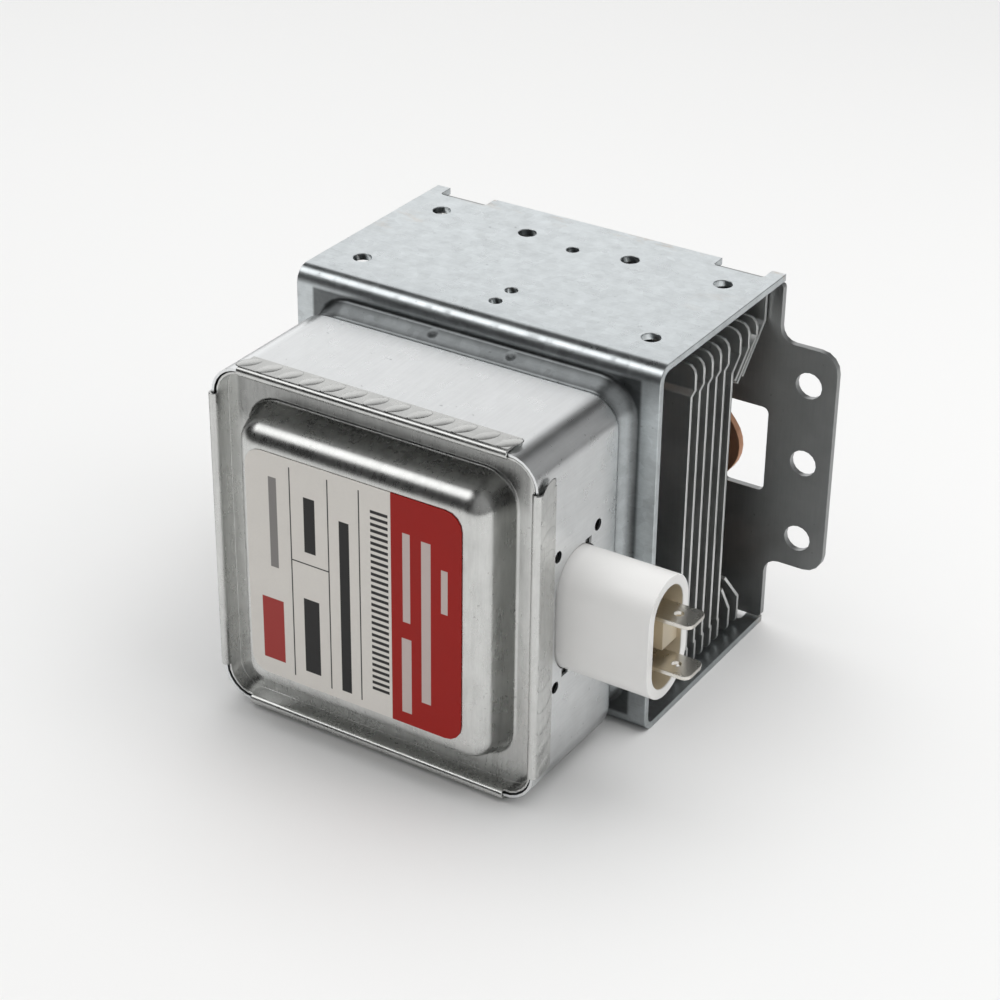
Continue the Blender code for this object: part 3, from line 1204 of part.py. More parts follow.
def main():
    clear_scene()
    galvanised = make_material("galvanised_steel", (0.60, 0.63, 0.65), 0.38, 1.0)
    plated = make_material("plate_steel", (0.42, 0.44, 0.45), 0.42, 1.0)
    lid_steel = make_material("lid_steel", (0.55, 0.56, 0.54), 0.34, 1.0)
    paper = make_material("label_paper", (0.55, 0.51, 0.47), 0.55, 0.0)
    aluminium = make_material("fin_aluminium", (0.62, 0.62, 0.60), 0.40, 1.0)
    copper = make_material("copper", (0.72, 0.36, 0.20), 0.35, 1.0)
    ferrite = make_material("ferrite", (0.05, 0.05, 0.055), 0.70, 0.0)
    pole_steel = make_material("pole_steel", (0.55, 0.55, 0.55), 0.35, 1.0)
    alumina = make_material("alumina", (0.85, 0.78, 0.76), 0.55, 0.0)
    molybdenum = make_material("lead_metal", (0.45, 0.45, 0.47), 0.40, 1.0)
    tungsten = make_material("filament_metal", (0.25, 0.25, 0.27), 0.45, 1.0)
    mesh_metal = make_material("gasket_mesh", (0.60, 0.58, 0.52), 0.50, 1.0)
    housing = make_material("plug_plastic", (0.83, 0.82, 0.80), 0.35, 0.0)
    resin = make_material("capacitor_resin", (0.30, 0.20, 0.14), 0.50, 0.0)
    tinned = make_material("tinned_brass", (0.60, 0.57, 0.52), 0.30, 1.0)
    enamelled = make_material("enamelled_copper", (0.60, 0.24, 0.10), 0.30, 1.0)

    build_yoke(galvanised)
    build_plate(plated)
    build_box(galvanised)
    build_lid(lid_steel)
    build_label(paper)
    build_fins(aluminium)
    build_guide(aluminium)
    build_anode(copper)
    build_straps(copper)
    build_poles(pole_steel)
    stem_end, cap_inside = build_envelope(pole_steel, alumina, pole_steel)
    terminal_y = build_cathode(stem_end, molybdenum, tungsten, tinned)
    build_antenna_rod(cap_inside, copper)
    build_magnets(ferrite)
    build_retainer(copper)
    build_gasket(mesh_metal)
    build_plug(housing)
    build_capacitor(galvanised, resin)
    build_tabs(tinned)
    build_chokes(terminal_y, enamelled, ferrite)
    centre_on_underside()


main()
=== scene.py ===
# %% [markdown]
# # A packaged magnetron, from fixed frame to finished look
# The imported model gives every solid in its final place. This lesson adds what the solids leave
# out: pressed marks, burrs round holes, a knitted gasket, and a surface for every material.
# Each step prints what it made, so the notebook can be followed cell by cell.

import math

import bmesh
import bpy
from mathutils import Matrix, Vector


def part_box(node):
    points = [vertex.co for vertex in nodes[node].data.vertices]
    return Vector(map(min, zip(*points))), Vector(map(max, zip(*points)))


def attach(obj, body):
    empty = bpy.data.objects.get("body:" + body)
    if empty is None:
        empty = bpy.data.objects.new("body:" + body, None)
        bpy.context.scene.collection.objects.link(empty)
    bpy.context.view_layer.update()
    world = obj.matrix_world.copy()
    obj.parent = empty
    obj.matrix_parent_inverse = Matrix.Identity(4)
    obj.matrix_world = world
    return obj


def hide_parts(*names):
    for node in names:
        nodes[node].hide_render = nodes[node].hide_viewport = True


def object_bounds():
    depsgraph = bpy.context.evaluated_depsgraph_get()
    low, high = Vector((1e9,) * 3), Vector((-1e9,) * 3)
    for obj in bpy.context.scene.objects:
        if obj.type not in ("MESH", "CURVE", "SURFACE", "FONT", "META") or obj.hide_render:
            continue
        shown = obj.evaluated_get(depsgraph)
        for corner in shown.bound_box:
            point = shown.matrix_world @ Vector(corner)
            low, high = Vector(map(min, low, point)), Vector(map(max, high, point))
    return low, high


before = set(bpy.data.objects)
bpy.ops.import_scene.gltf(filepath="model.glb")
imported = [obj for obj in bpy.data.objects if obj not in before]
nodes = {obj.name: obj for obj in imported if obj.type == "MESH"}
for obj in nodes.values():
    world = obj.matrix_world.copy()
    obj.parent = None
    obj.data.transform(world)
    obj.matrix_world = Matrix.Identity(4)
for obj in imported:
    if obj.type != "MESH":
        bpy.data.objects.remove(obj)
cad_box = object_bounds()
MM = 0.001
print("nodes in the frame:", len(nodes))

# %% [markdown]
# ## Places read from the frame
# Positions in this cell are worked out from the nodes' own boxes. Marks that no box can tell,
# such as the label's bars or the pitch of the crimps, are named numbers where they are used.

# %% Named places
lid_low, lid_high = (Vector(corner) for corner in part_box("filter_lid"))
box_low, box_high = (Vector(corner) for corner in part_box("filter_box"))
yoke_low, yoke_high = (Vector(corner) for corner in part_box("yoke_frame"))
plug_low, plug_high = (Vector(corner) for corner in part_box("connector_housing"))
label_low, label_high = (Vector(corner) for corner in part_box("front_label"))
gasket_low, gasket_high = (Vector(corner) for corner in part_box("rf_gasket"))

BOX_CENTRE_Z = (box_low.z + box_high.z) / 2
PLUG_CENTRE_Y = (plug_low.y + plug_high.y) / 2
PLUG_CENTRE_Z = (plug_low.z + plug_high.z) / 2
AXIS_Z = (gasket_low.z + gasket_high.z) / 2
YOKE_FRONT_Y = -yoke_high.y
print("filter box centre height, mm:", round(BOX_CENTRE_Z / MM, 2))

# %% [markdown]
# ## Writing shader maths as ordinary arithmetic
# A `Field` wraps one output of a shader tree. Adding, scaling or comparing fields adds the
# matching Math nodes, so a surface can be written as a formula.


# %% Fields and surfaces
class Field:
    """One varying value in a shader tree."""

    def __init__(self, surface, socket):
        self.surface = surface
        self.socket = socket

    def maths(self, operation, *values):
        return self.surface.maths(operation, *values)

    def __add__(self, other):
        return self.maths("ADD", self, other)

    def __radd__(self, other):
        return self.maths("ADD", other, self)

    def __sub__(self, other):
        return self.maths("SUBTRACT", self, other)

    def __rsub__(self, other):
        return self.maths("SUBTRACT", other, self)

    def __mul__(self, other):
        return self.maths("MULTIPLY", self, other)

    def __rmul__(self, other):
        return self.maths("MULTIPLY", other, self)

    def __truediv__(self, other):
        return self.maths("DIVIDE", self, other)

    def size(self):
        return self.maths("ABSOLUTE", self)

    def root(self):
        return self.maths("SQRT", self)

    def at_most(self, other):
        return self.maths("MINIMUM", self, other)

    def at_least(self, other):
        return self.maths("MAXIMUM", self, other)

    def step(self, low, high):
        """0 below low, 1 above high, and a smooth rise between them."""
        made = self.surface.node(
            "ShaderNodeMapRange",
            {"Value": self, "From Min": low, "From Max": high},
            interpolation_type="SMOOTHSTEP",
        )
        return Field(self.surface, made.outputs["Result"])

    def inside(self, low, high, soft):
        """1 between low and high, 0 outside, with soft edges."""
        return self.step(low - soft, low + soft) * (1.0 - self.step(high - soft, high + soft))


class Tree:
    """A shader tree that is written as arithmetic."""

    def __init__(self, tree):
        self.tree = tree

    def axes(self, vector):
        """The three parts of a vector, as fields."""
        split = self.node("ShaderNodeSeparateXYZ", {"Vector": vector})
        return tuple(Field(self, split.outputs[axis]) for axis in "XYZ")

    def node(self, kind, inputs=None, **settings):
        made = self.tree.nodes.new(kind)
        for key, value in settings.items():
            setattr(made, key, value)
        for key, value in (inputs or {}).items():
            self.feed(made.inputs[key], value)
        return made

    def feed(self, socket, value):
        if isinstance(value, Field):
            value = value.socket
        if isinstance(value, bpy.types.NodeSocket):
            self.tree.links.new(value, socket)
        else:
            socket.default_value = value

    def maths(self, operation, *values):
        made = self.node("ShaderNodeMath", operation=operation)
        for socket, value in zip(made.inputs, values):
            self.feed(socket, value)
        return Field(self, made.outputs["Value"])

    def blend(self, factor, first, second):
        made = self.node("ShaderNodeMix", data_type="RGBA")
        self.feed(made.inputs[0], factor)
        self.feed(made.inputs[6], first if not isinstance(first, tuple) else (*first, 1.0))
        self.feed(made.inputs[7], second if not isinstance(second, tuple) else (*second, 1.0))
        return made.outputs[2]

    def tint(self, colour, value):
        """A fixed colour made lighter or darker by a field around 1."""
        made = self.node("ShaderNodeVectorMath", operation="SCALE")
        made.inputs[0].default_value = colour
        self.feed(made.inputs["Scale"], value)
        return made.outputs["Vector"]


class Surface(Tree):
    """A material with a Principled shader and the object's own coordinates."""

    def __init__(self, name, metallic=0.0, coat=0.0):
        self.material = bpy.data.materials.new(name)
        self.material.use_nodes = True
        super().__init__(self.material.node_tree)
        self.shader = self.tree.nodes["Principled BSDF"]
        self.shader.inputs["Metallic"].default_value = metallic
        self.shader.inputs["Coat Weight"].default_value = coat
        self.place = self.node("ShaderNodeTexCoord").outputs["Object"]
        self.x, self.y, self.z = self.axes(self.place)

    def stretched(self, scale, turn=(0.0, 0.0, 0.0)):
        """Object coordinates, turned and then scaled along each axis."""
        made = self.node("ShaderNodeMapping", {"Vector": self.place, "Rotation": turn, "Scale": scale})
        return made.outputs["Vector"]

    def noise(self, scale, detail=3.0, rough=0.5, stretch=(1.0, 1.0, 1.0), turn=(0.0, 0.0, 0.0)):
        """Smooth noise of about 0 to 1; scale is in features per metre."""
        vector = self.stretched(stretch, turn)
        made = self.node("ShaderNodeTexNoise", {
            "Vector": vector, "Scale": scale, "Detail": detail, "Roughness": rough,
        })
        return Field(self, made.outputs["Fac"])

    def cells(self, scale):
        """A flat random value for each cell of a Voronoi pattern."""
        wobble = self.node("ShaderNodeTexNoise", {"Vector": self.place, "Scale": scale * 0.7})
        shifted = self.node("ShaderNodeMixRGB", {
            "Fac": 0.004, "Color1": self.place, "Color2": wobble.outputs["Color"],
        })
        made = self.node("ShaderNodeTexVoronoi", {"Vector": shifted.outputs["Color"], "Scale": scale})
        split = self.node("ShaderNodeSeparateColor", {"Color": made.outputs["Color"]})
        return Field(self, split.outputs["Red"])

    def scratches(self, amount=0.5):
        """Fine lines in three directions, 1 on a line."""
        total = None
        for turn, stretch in (
            ((0.3, 0.2, 0.5), (1.0, 30.0, 30.0)),
            ((0.1, 0.9, 1.3), (24.0, 1.0, 24.0)),
            ((1.2, 0.4, 0.2), (30.0, 30.0, 1.0)),
        ):
            line = self.noise(55.0, 1.0, 0.4, stretch, turn).step(0.80 - 0.08 * amount, 0.86)
            total = line if total is None else total + line
        return total.at_most(1.0)

    def finish(self, colour, roughness, height=None, depth=0.0, strength=1.0):
        """Connect colour, roughness and, where given, a bump of that depth in metres."""
        self.feed(self.shader.inputs["Base Color"], colour)
        self.feed(self.shader.inputs["Roughness"], roughness)
        if height is not None:
            bump = self.node("ShaderNodeBump", {"Height": height, "Distance": depth, "Strength": strength})
            self.feed(self.shader.inputs["Normal"], bump.outputs["Normal"])
        return self.material


print("shader helpers ready")

# %% [markdown]
# ## Sheet metal
# Zinc-coated sheet has three scales of detail: broad clouds from handling, crystals a few
# millimetres wide, and a fine rolling grain. The grain also breaks up the highlights.
# Pressed sheet is never flat either, so a slow ripple bends what it reflects.
# The seat and the lid's recess are also painted darker, where the photo shows them reflecting
# a dark room. That shade belongs to this picture's light and isn't a colour of the metal.


# %% Galvanised and rolled steel
GRAIN_STRETCH = 0.05
SHEET_BUMP = 0.00002
LEAST_ROUGHNESS = 0.12
STAIN_SHARE = (0.80, 0.55, 0.36)


def sheet_metal(name, colour, roughness, crystal=0.03, grain_axis=0, ripple=SHEET_BUMP, wear=0.5, extra=None):
    skin = Surface(name, metallic=1.0)
    stretch = tuple(GRAIN_STRETCH if axis == grain_axis else 1.0 for axis in range(3))
    clouds = skin.noise(38.0, 4.0, 0.6)
    patches = skin.noise(210.0, 4.0, 0.6)
    crystals = skin.cells(420.0)
    grain = skin.noise(2600.0, 2.0, 0.6, stretch)
    lines = skin.scratches(wear)
    specks = skin.noise(700.0, 2.0, 0.5).step(0.72, 0.78)
    level = 0.99 + 0.05 * (clouds - 0.5) + crystal * (crystals - 0.5) + 0.20 * (patches - 0.5)
    level = level + 0.14 * (grain - 0.5) + 0.05 * lines - 0.22 * specks
    rough = roughness + 0.04 * (clouds - 0.5) + 0.10 * (patches - 0.5) + 0.03 * crystals + 0.10 * specks
    rough = (rough - 0.04 * lines).at_least(LEAST_ROUGHNESS)
    height = skin.noise(46.0, 2.0, 0.4) * (ripple / SHEET_BUMP) + 0.25 * grain + 0.2 * patches - 0.4 * lines
    stain = 0.0
    if extra:
        level, rough, height, stain = extra(skin, level, rough, height)
    brown = tuple(part * share for part, share in zip(colour, STAIN_SHARE))
    tone = skin.blend(stain, skin.tint(colour, level), skin.tint(brown, level))
    return skin.finish(tone, rough, height, SHEET_BUMP, 0.75)


def spot(skin, centre, radius, soft):
    """1 inside a ball round a point, 0 outside."""
    x, y, z = centre
    aside, along, above = skin.x - x, skin.y - y, skin.z - z
    away = (aside * aside + along * along + above * above).root()
    return 1.0 - away.step(radius - soft, radius + soft)


SEAT_DENTS_X = (-7.6 * MM, 9.6 * MM)
SEAT_DENT_Y = yoke_low.y + 2.4 * MM
SEAT_DENT_Z = 73.6 * MM
SEAT_DENT_RADIUS, SEAT_DENT_SOFT = 0.8 * MM, 0.5 * MM
HEAT_SPOT_X = 36.0 * MM
HEAT_SPOT_Y = yoke_low.y + 33.0 * MM
SEAT_HALF_WIDE, SEAT_HALF_TALL = 36.2 * MM, 36.0 * MM
MARK_SOFT = 0.4 * MM
SLOPE_SHADE, FOOT_SHADE, CREST_SHADE = 0.22, 0.45, 0.35


def yoke_marks(skin, level, rough, height):
    """Seat dents with a painted shade in them, tooling lines on the bend, stains, and a painted shade over
    the seat and on the walls.
    """
    # Each dent is a real hollow, given by the bump, and is also painted darker: a painted shade in the
    # hollow.
    for x in SEAT_DENTS_X:
        dent = spot(skin, (x, SEAT_DENT_Y, SEAT_DENT_Z), SEAT_DENT_RADIUS, SEAT_DENT_SOFT)
        level = level - 0.45 * dent
        height = height - 6.0 * dent
    bend = skin.y.inside(yoke_low.y + 4.4 * MM, yoke_low.y + 5.2 * MM, 0.3 * MM) * skin.z.step(0.070, 0.074)
    drag = skin.noise(500.0, 3.0, 0.6, (1.0, 0.2, 0.2)).step(0.48, 0.7)
    rough = rough + 0.12 * bend * drag
    rear = skin.y.step(yoke_high.y - 6 * MM, yoke_high.y)
    smear = skin.noise(160.0, 4.0, 0.65, (0.6, 1.4, 1.0)).step(0.50, 0.66)
    stain = 0.5 * rear * smear
    for side in (-1, 1):
        heat = spot(skin, (side * HEAT_SPOT_X, HEAT_SPOT_Y, yoke_high.z), 4.5 * MM, 3.5 * MM)
        stain = stain + 0.30 * heat * smear
    mottle = skin.noise(330.0, 5.0, 0.7)
    level = level + 0.45 * (mottle - 0.5)
    in_seat = skin.x.inside(-SEAT_HALF_WIDE, SEAT_HALF_WIDE, MARK_SOFT)
    in_seat = in_seat * skin.z.inside(AXIS_Z - SEAT_HALF_TALL, AXIS_Z + SEAT_HALF_TALL, MARK_SOFT)
    behind = skin.y - yoke_low.y
    slope = 1.0 - behind.step(4.1 * MM, 4.6 * MM)
    foot = behind.step(2.2 * MM, 3.9 * MM) * slope
    crest = 1.0 - behind.step(0.3 * MM, 1.7 * MM)
    level = level * (1.0 - in_seat * (SLOPE_SHADE * slope + FOOT_SHADE * foot + CREST_SHADE * crest))
    # The walls between the top and bottom faces are painted darker, a painted shade, and made a little
    # rougher.
    inner = skin.z.inside(yoke_low.z + 1.2 * MM, yoke_high.z - 1.2 * MM, 0.1 * MM)
    return level - 0.06 * bend - 0.10 * inner, rough + 0.05 * inner, height, stain


RECESS_HALF_WIDE = 31.6 * MM
RECESS_FROM_END = 3.4 * MM
RECESS_SOFT = 0.5 * MM
RECESS_SHADE, UPPER_SHADE = 0.08, 0.34


def lid_marks(skin, level, rough, height):
    """Smudges, fine upright streaks, and a painted shade in the recess, stronger at its top."""
    smudge = skin.noise(75.0, 3.0, 0.6).step(0.52, 0.68)
    front = 1.0 - skin.y.step(lid_low.y + 0.5 * MM, lid_low.y + 2.0 * MM)
    recess = skin.y.step(lid_low.y + 2.2 * MM, lid_low.y + 4.0 * MM)
    recess = recess * skin.x.inside(-RECESS_HALF_WIDE, RECESS_HALF_WIDE, RECESS_SOFT)
    recess = recess * skin.z.inside(lid_low.z + RECESS_FROM_END, lid_high.z - RECESS_FROM_END, RECESS_SOFT)
    streak = skin.noise(900.0, 4.0, 0.65, (1.0, 1.0, 0.14))
    mottle = skin.noise(430.0, 5.0, 0.7, (1.0, 1.0, 0.45))
    upper = skin.z.step(lid_high.z - 15.0 * MM, lid_high.z - 10.0 * MM)
    shade = recess * (RECESS_SHADE + UPPER_SHADE * upper)
    level = level * (0.93 - shade) - 0.05 * smudge * front + 0.26 * (streak - 0.5) + 0.30 * (mottle - 0.5)
    return level, rough + 0.03 * smudge + 0.16 * (streak - 0.5), height + 0.3 * streak, 0.0


galvanised = sheet_metal("galvanised_steel", (0.68, 0.72, 0.735), 0.28, 0.13, extra=yoke_marks)
box_steel = sheet_metal("box_steel", (0.82, 0.835, 0.84), 0.28, 0.03, 1, 0.00003)
plate_steel = sheet_metal("plate_steel", (0.46, 0.47, 0.47), 0.40, 0.04, 2)
lid_steel = sheet_metal("lid_steel", (0.68, 0.685, 0.67), 0.27, 0.02, 2, 0.00003, 0.7, lid_marks)
fin_aluminium = sheet_metal("fin_aluminium", (0.80, 0.81, 0.80), 0.34, 0.01, 2, 0.00002)
pole_steel = sheet_metal("nickel_steel", (0.62, 0.62, 0.61), 0.28, 0.01, 1, 0.00001)
tinned = sheet_metal("tinned_brass", (0.74, 0.72, 0.67), 0.27, 0.02, 0, 0.00001, 1.0)
lead_metal = sheet_metal("lead_metal", (0.42, 0.42, 0.44), 0.42, 0.0, 1)
filament_metal = sheet_metal("filament_metal", (0.25, 0.25, 0.27), 0.45, 0.0, 1)
SHEET_METALS = (
    galvanised, box_steel, plate_steel, lid_steel, fin_aluminium,
    pole_steel, tinned, lead_metal, filament_metal,
)
print("sheet and wire metals:", len(SHEET_METALS))

# %% [markdown]
# ## Copper, ferrite, ceramic and resin
# Bare copper darkens in patches. Ferrite and ceramic are pressed powders, so their detail
# is a fine speckle instead of a grain.


# %% Other solid materials
def copper_metal(name, colour, roughness):
    skin = Surface(name, metallic=1.0)
    stain = skin.noise(120.0, 4.0, 0.6).step(0.4, 0.7)
    grain = skin.noise(2400.0, 2.0, 0.6)
    colour_field = skin.blend(stain * 0.6, colour, tuple(value * 0.55 for value in colour))
    rough = roughness + 0.18 * stain + 0.08 * (grain - 0.5)
    return skin.finish(colour_field, rough, grain + 0.5 * stain, 0.00002, 0.6)


def powder(name, colour, roughness, speckle, size):
    skin = Surface(name)
    fine = skin.noise(size, 3.0, 0.6)
    broad = skin.noise(70.0, 3.0, 0.5)
    chips = skin.noise(size * 0.4, 1.0, 0.5).step(0.68, 0.74)
    level = 1.0 + speckle * (fine - 0.5) * 2.0 + 0.12 * (broad - 0.5) - 0.15 * chips
    return skin.finish(skin.tint(colour, level), roughness + 0.10 * (fine - 0.5), fine - chips, 0.00004, 0.5)


copper = copper_metal("copper", (0.90, 0.50, 0.32), 0.30)
enamelled = copper_metal("enamelled_copper", (0.66, 0.27, 0.12), 0.22)
ferrite = powder("ferrite", (0.075, 0.075, 0.08), 0.62, 0.18, 2600.0)
alumina = powder("alumina", (0.84, 0.76, 0.74), 0.50, 0.04, 1800.0)
resin = powder("capacitor_resin", (0.24, 0.14, 0.085), 0.42, 0.10, 900.0)
print("solid materials:", len((copper, enamelled, ferrite, alumina, resin)))

# %% [markdown]
# ## The plug housing
# White outside and cream inside. The inside of the oval pocket is found by its distance from
# the plug's middle line, so the colour changes exactly at the rim.

# %% Moulded plastic
PLUG_POCKET_DEPTH = 10.2 * MM
PLUG_INNER_RADIUS = 5.45 * MM
PLUG_HALF_STRAIGHT = (plug_high.z - plug_low.z - (plug_high.y - plug_low.y)) / 2


def plug_material():
    skin = Surface("plug_plastic", coat=0.15)
    beyond = ((skin.z - PLUG_CENTRE_Z).size() - PLUG_HALF_STRAIGHT).at_least(0.0)
    across = skin.y - PLUG_CENTRE_Y
    away = (beyond * beyond + across * across).root()
    inner = 1.0 - away.step(PLUG_INNER_RADIUS - 0.05 * MM, PLUG_INNER_RADIUS + 0.05 * MM)
    inner = inner * skin.x.step(plug_high.x - PLUG_POCKET_DEPTH - 1 * MM, plug_high.x - PLUG_POCKET_DEPTH)
    inner = inner * (1.0 - skin.x.step(plug_high.x - 0.3 * MM, plug_high.x - 0.1 * MM))
    cloudy = skin.noise(160.0, 3.0, 0.5)
    fine = skin.noise(2200.0, 2.0, 0.6)
    flow = skin.noise(260.0, 2.0, 0.5, (0.2, 1.0, 1.0))
    # Where the plug leaves the box its white is painted darker: a painted shade between the parts.
    root = 1.0 - skin.x.step(box_high.x + 0.2 * MM, box_high.x + 2.2 * MM)
    white = skin.tint((0.88, 0.875, 0.86), 0.97 + 0.04 * cloudy + 0.02 * flow - 0.10 * root)
    cream = skin.tint((0.66, 0.57, 0.42), 0.92 + 0.14 * cloudy)
    colour = skin.blend(inner, white, cream)
    return skin.finish(colour, 0.36 + 0.10 * (cloudy - 0.5) + 0.08 * inner, fine + 2.0 * flow, 0.00002, 0.5)


plug_plastic = plug_material()
print("plug pocket turns cream from x, mm:", round((plug_high.x - PLUG_POCKET_DEPTH) / MM, 1))

# %% [markdown]
# ## The label
# A plain printed film: a pale field and a red field, thin rules, a ladder of even stripes, and
# blank bars where a printed label has its lines. Every shape is a product of two soft steps.

# %% Label film
LABEL_PALE = (0.78, 0.75, 0.705)
LABEL_RED = (0.36, 0.006, 0.002)
LABEL_INK = (0.010, 0.010, 0.011)
LABEL_GREY = (0.16, 0.15, 0.15)
LABEL_BLANK = (0.62, 0.56, 0.53)
RED_FIELD_X = 7.7 * MM
RULES_X = (-14.4 * MM, -6.0 * MM, 0.85 * MM)
RULE_HALF_WIDTH = 0.13 * MM
RULE_MARGIN = 1.6 * MM
CROSS_RULE_Z = 40.5 * MM
LADDER = (3.3 * MM, 7.1 * MM, 18.3 * MM, 57.0 * MM)
LADDER_PITCH = 1.29 * MM
PRINT_SOFT = 0.05 * MM
INK_BARS = (
    (-11.9 * MM, -8.4 * MM, 17.0 * MM, 33.0 * MM),
    (-11.4 * MM, -8.9 * MM, 43.0 * MM, 54.5 * MM),
    (-3.6 * MM, -1.4 * MM, 15.6 * MM, 52.0 * MM),
)
GREY_BARS = ((-19.2 * MM, -17.4 * MM, 37.5 * MM, 56.5 * MM),)
RED_BARS = ((-21.5 * MM, -16.6 * MM, 17.0 * MM, 30.5 * MM),)
PALE_BARS = (
    (9.9 * MM, 12.0 * MM, 16.0 * MM, 32.0 * MM),
    (10.2 * MM, 11.8 * MM, 35.5 * MM, 54.0 * MM),
    (14.2 * MM, 16.2 * MM, 19.5 * MM, 53.5 * MM),
    (18.4 * MM, 19.8 * MM, 40.0 * MM, 49.0 * MM),
)


def label_material():
    skin = Surface("label_film", coat=0.03)
    skin.shader.inputs["Specular IOR Level"].default_value = 0.25

    def bars(shapes):
        total = None
        for left, right, low, high in shapes:
            shape = skin.x.inside(left, right, PRINT_SOFT) * skin.z.inside(low, high, PRINT_SOFT)
            total = shape if total is None else total + shape
        return total.at_most(1.0)

    rules = None
    for x in RULES_X:
        rule = skin.x.inside(x - RULE_HALF_WIDTH, x + RULE_HALF_WIDTH, PRINT_SOFT)
        rules = rule if rules is None else rules + rule
    rules = rules * skin.z.inside(label_low.z + RULE_MARGIN, label_high.z - RULE_MARGIN, PRINT_SOFT)
    cross = skin.z.inside(CROSS_RULE_Z - RULE_HALF_WIDTH, CROSS_RULE_Z + RULE_HALF_WIDTH, PRINT_SOFT)
    rules = rules + cross * skin.x.inside(RULES_X[0], RULES_X[1], PRINT_SOFT)
    left, right, low, high = LADDER
    phase = skin.maths("FRACT", (skin.z - low) / LADDER_PITCH)
    ladder = phase.inside(0.12, 0.62, 0.06) * skin.x.inside(left, right, PRINT_SOFT)
    ladder = ladder * skin.z.inside(low, high, PRINT_SOFT)
    red = skin.x.step(RED_FIELD_X - PRINT_SOFT, RED_FIELD_X + PRINT_SOFT)

    fibre = skin.noise(1500.0, 3.0, 0.6)
    wear = skin.noise(95.0, 4.0, 0.6)
    colour = skin.tint(LABEL_PALE, 0.94 + 0.10 * wear + 0.05 * (fibre - 0.5))
    colour = skin.blend(red, colour, skin.tint(LABEL_RED, 0.88 + 0.22 * wear))
    colour = skin.blend((rules + ladder + bars(INK_BARS)).at_most(1.0) * 0.98, colour, LABEL_INK)
    colour = skin.blend(bars(GREY_BARS) * 0.85, colour, LABEL_GREY)
    colour = skin.blend(bars(RED_BARS) * 0.95, colour, LABEL_RED)
    colour = skin.blend(bars(PALE_BARS) * 0.9, colour, LABEL_BLANK)
    bubbles = skin.noise(210.0, 2.0, 0.4).step(0.55, 0.8)
    return skin.finish(colour, 0.52 + 0.10 * (wear - 0.5), fibre + 2.0 * bubbles, 0.00003, 0.4)


label_film = label_material()
ALL_BARS = INK_BARS + GREY_BARS + RED_BARS + PALE_BARS
print("label rules and bars:", len(RULES_X) + 1 + len(ALL_BARS))

# %% [markdown]
# ## Geometry Nodes for what repeats
# A small builder keeps each tree readable. Inputs are named on the group and set by their
# identifiers. The result is turned into a plain mesh, and the modifier goes away.


# %% Tree builder
class Recipe:
    """A Geometry Nodes group with named inputs."""

    def __init__(self, name, inputs):
        self.group = bpy.data.node_groups.new(name, "GeometryNodeTree")
        self.identifiers = {}
        for label, kind in inputs.items():
            socket = self.group.interface.new_socket(label, in_out="INPUT", socket_type=kind)
            self.identifiers[label] = socket.identifier
        self.group.interface.new_socket("Geometry", in_out="OUTPUT", socket_type="NodeSocketGeometry")
        self.given = self.group.nodes.new("NodeGroupInput")
        self.result = self.group.nodes.new("NodeGroupOutput")

    def node(self, kind, inputs=None, **settings):
        made = self.group.nodes.new(kind)
        for key, value in settings.items():
            setattr(made, key, value)
        for key, value in (inputs or {}).items():
            if isinstance(value, bpy.types.NodeSocket):
                self.group.links.new(value, made.inputs[key])
            else:
                made.inputs[key].default_value = value
        return made

    def maths(self, operation, *values):
        made = self.node("ShaderNodeMath", operation=operation)
        for socket, value in zip(made.inputs, values):
            if isinstance(value, bpy.types.NodeSocket):
                self.group.links.new(value, socket)
            else:
                socket.default_value = value
        return made.outputs["Value"]

    def deliver(self, geometry):
        """Realize, smooth and colour the geometry, and send it out."""
        real = self.node("GeometryNodeRealizeInstances", {"Geometry": geometry})
        smooth = self.node("GeometryNodeSetShadeSmooth", {"Geometry": real.outputs["Geometry"]})
        painted = self.node("GeometryNodeSetMaterial", {
            "Geometry": smooth.outputs["Geometry"], "Material": self.given.outputs["Material"],
        })
        self.group.links.new(painted.outputs["Geometry"], self.result.inputs["Geometry"])

    def grow(self, name, slot, points=(), **values):
        """A plain mesh object grown by the tree, riding on the frame."""
        mesh = bpy.data.meshes.new(name)
        mesh.from_pydata([tuple(point) for point in points], [], [])
        grown = bpy.data.objects.new(name, mesh)
        bpy.context.scene.collection.objects.link(grown)
        modifier = grown.modifiers.new("grow", "NODES")
        modifier.node_group = self.group
        for label, value in values.items():
            modifier[self.identifiers[label.replace("_", " ").title()]] = value
        bpy.context.view_layer.update()
        shown = grown.evaluated_get(bpy.context.evaluated_depsgraph_get())
        plain = bpy.data.meshes.new_from_object(shown)
        grown.modifiers.clear()
        grown.data = plain
        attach(grown, "root")
        return grown


print("tree builder ready")

# %% [markdown]
# ## Give every carried-over node its surface
# A solid whose shape is already right keeps its mesh. It only needs a better material, and a
# small round on its sheared edges so that they catch the light.

# %% Assign materials and soften edges
FINISHES = {
    galvanised: ["yoke_frame"],
    plate_steel: ["mounting_plate", "capacitor_flange"],
    box_steel: ["filter_box"],
    lid_steel: ["filter_lid"],
    label_film: ["front_label"],
    fin_aluminium: [*(f"cooling_fin_{number}" for number in range(1, 9)), "air_guide"],
    copper: [
        "anode_block", "front_inner_strap", "front_outer_strap", "rear_inner_strap",
        "rear_outer_strap", "antenna_rod", "magnet_retainer",
    ],
    pole_steel: [
        "front_pole_piece", "rear_pole_piece", "cathode_end_seal", "antenna_end_seal", "antenna_cap",
    ],
    alumina: ["cathode_stem_ceramic", "antenna_ceramic"],
    ferrite: ["front_magnet", "rear_magnet", "upper_choke_core", "lower_choke_core"],
    lead_metal: ["front_end_hat", "rear_end_hat", "centre_lead", "side_lead"],
    filament_metal: ["cathode_filament"],
    tinned: ["centre_stem_terminal", "side_stem_terminal", "upper_terminal_tab", "lower_terminal_tab"],
    plug_plastic: ["connector_housing"],
    resin: ["capacitor_body"],
    enamelled: ["upper_choke_coil", "lower_choke_coil"],
}
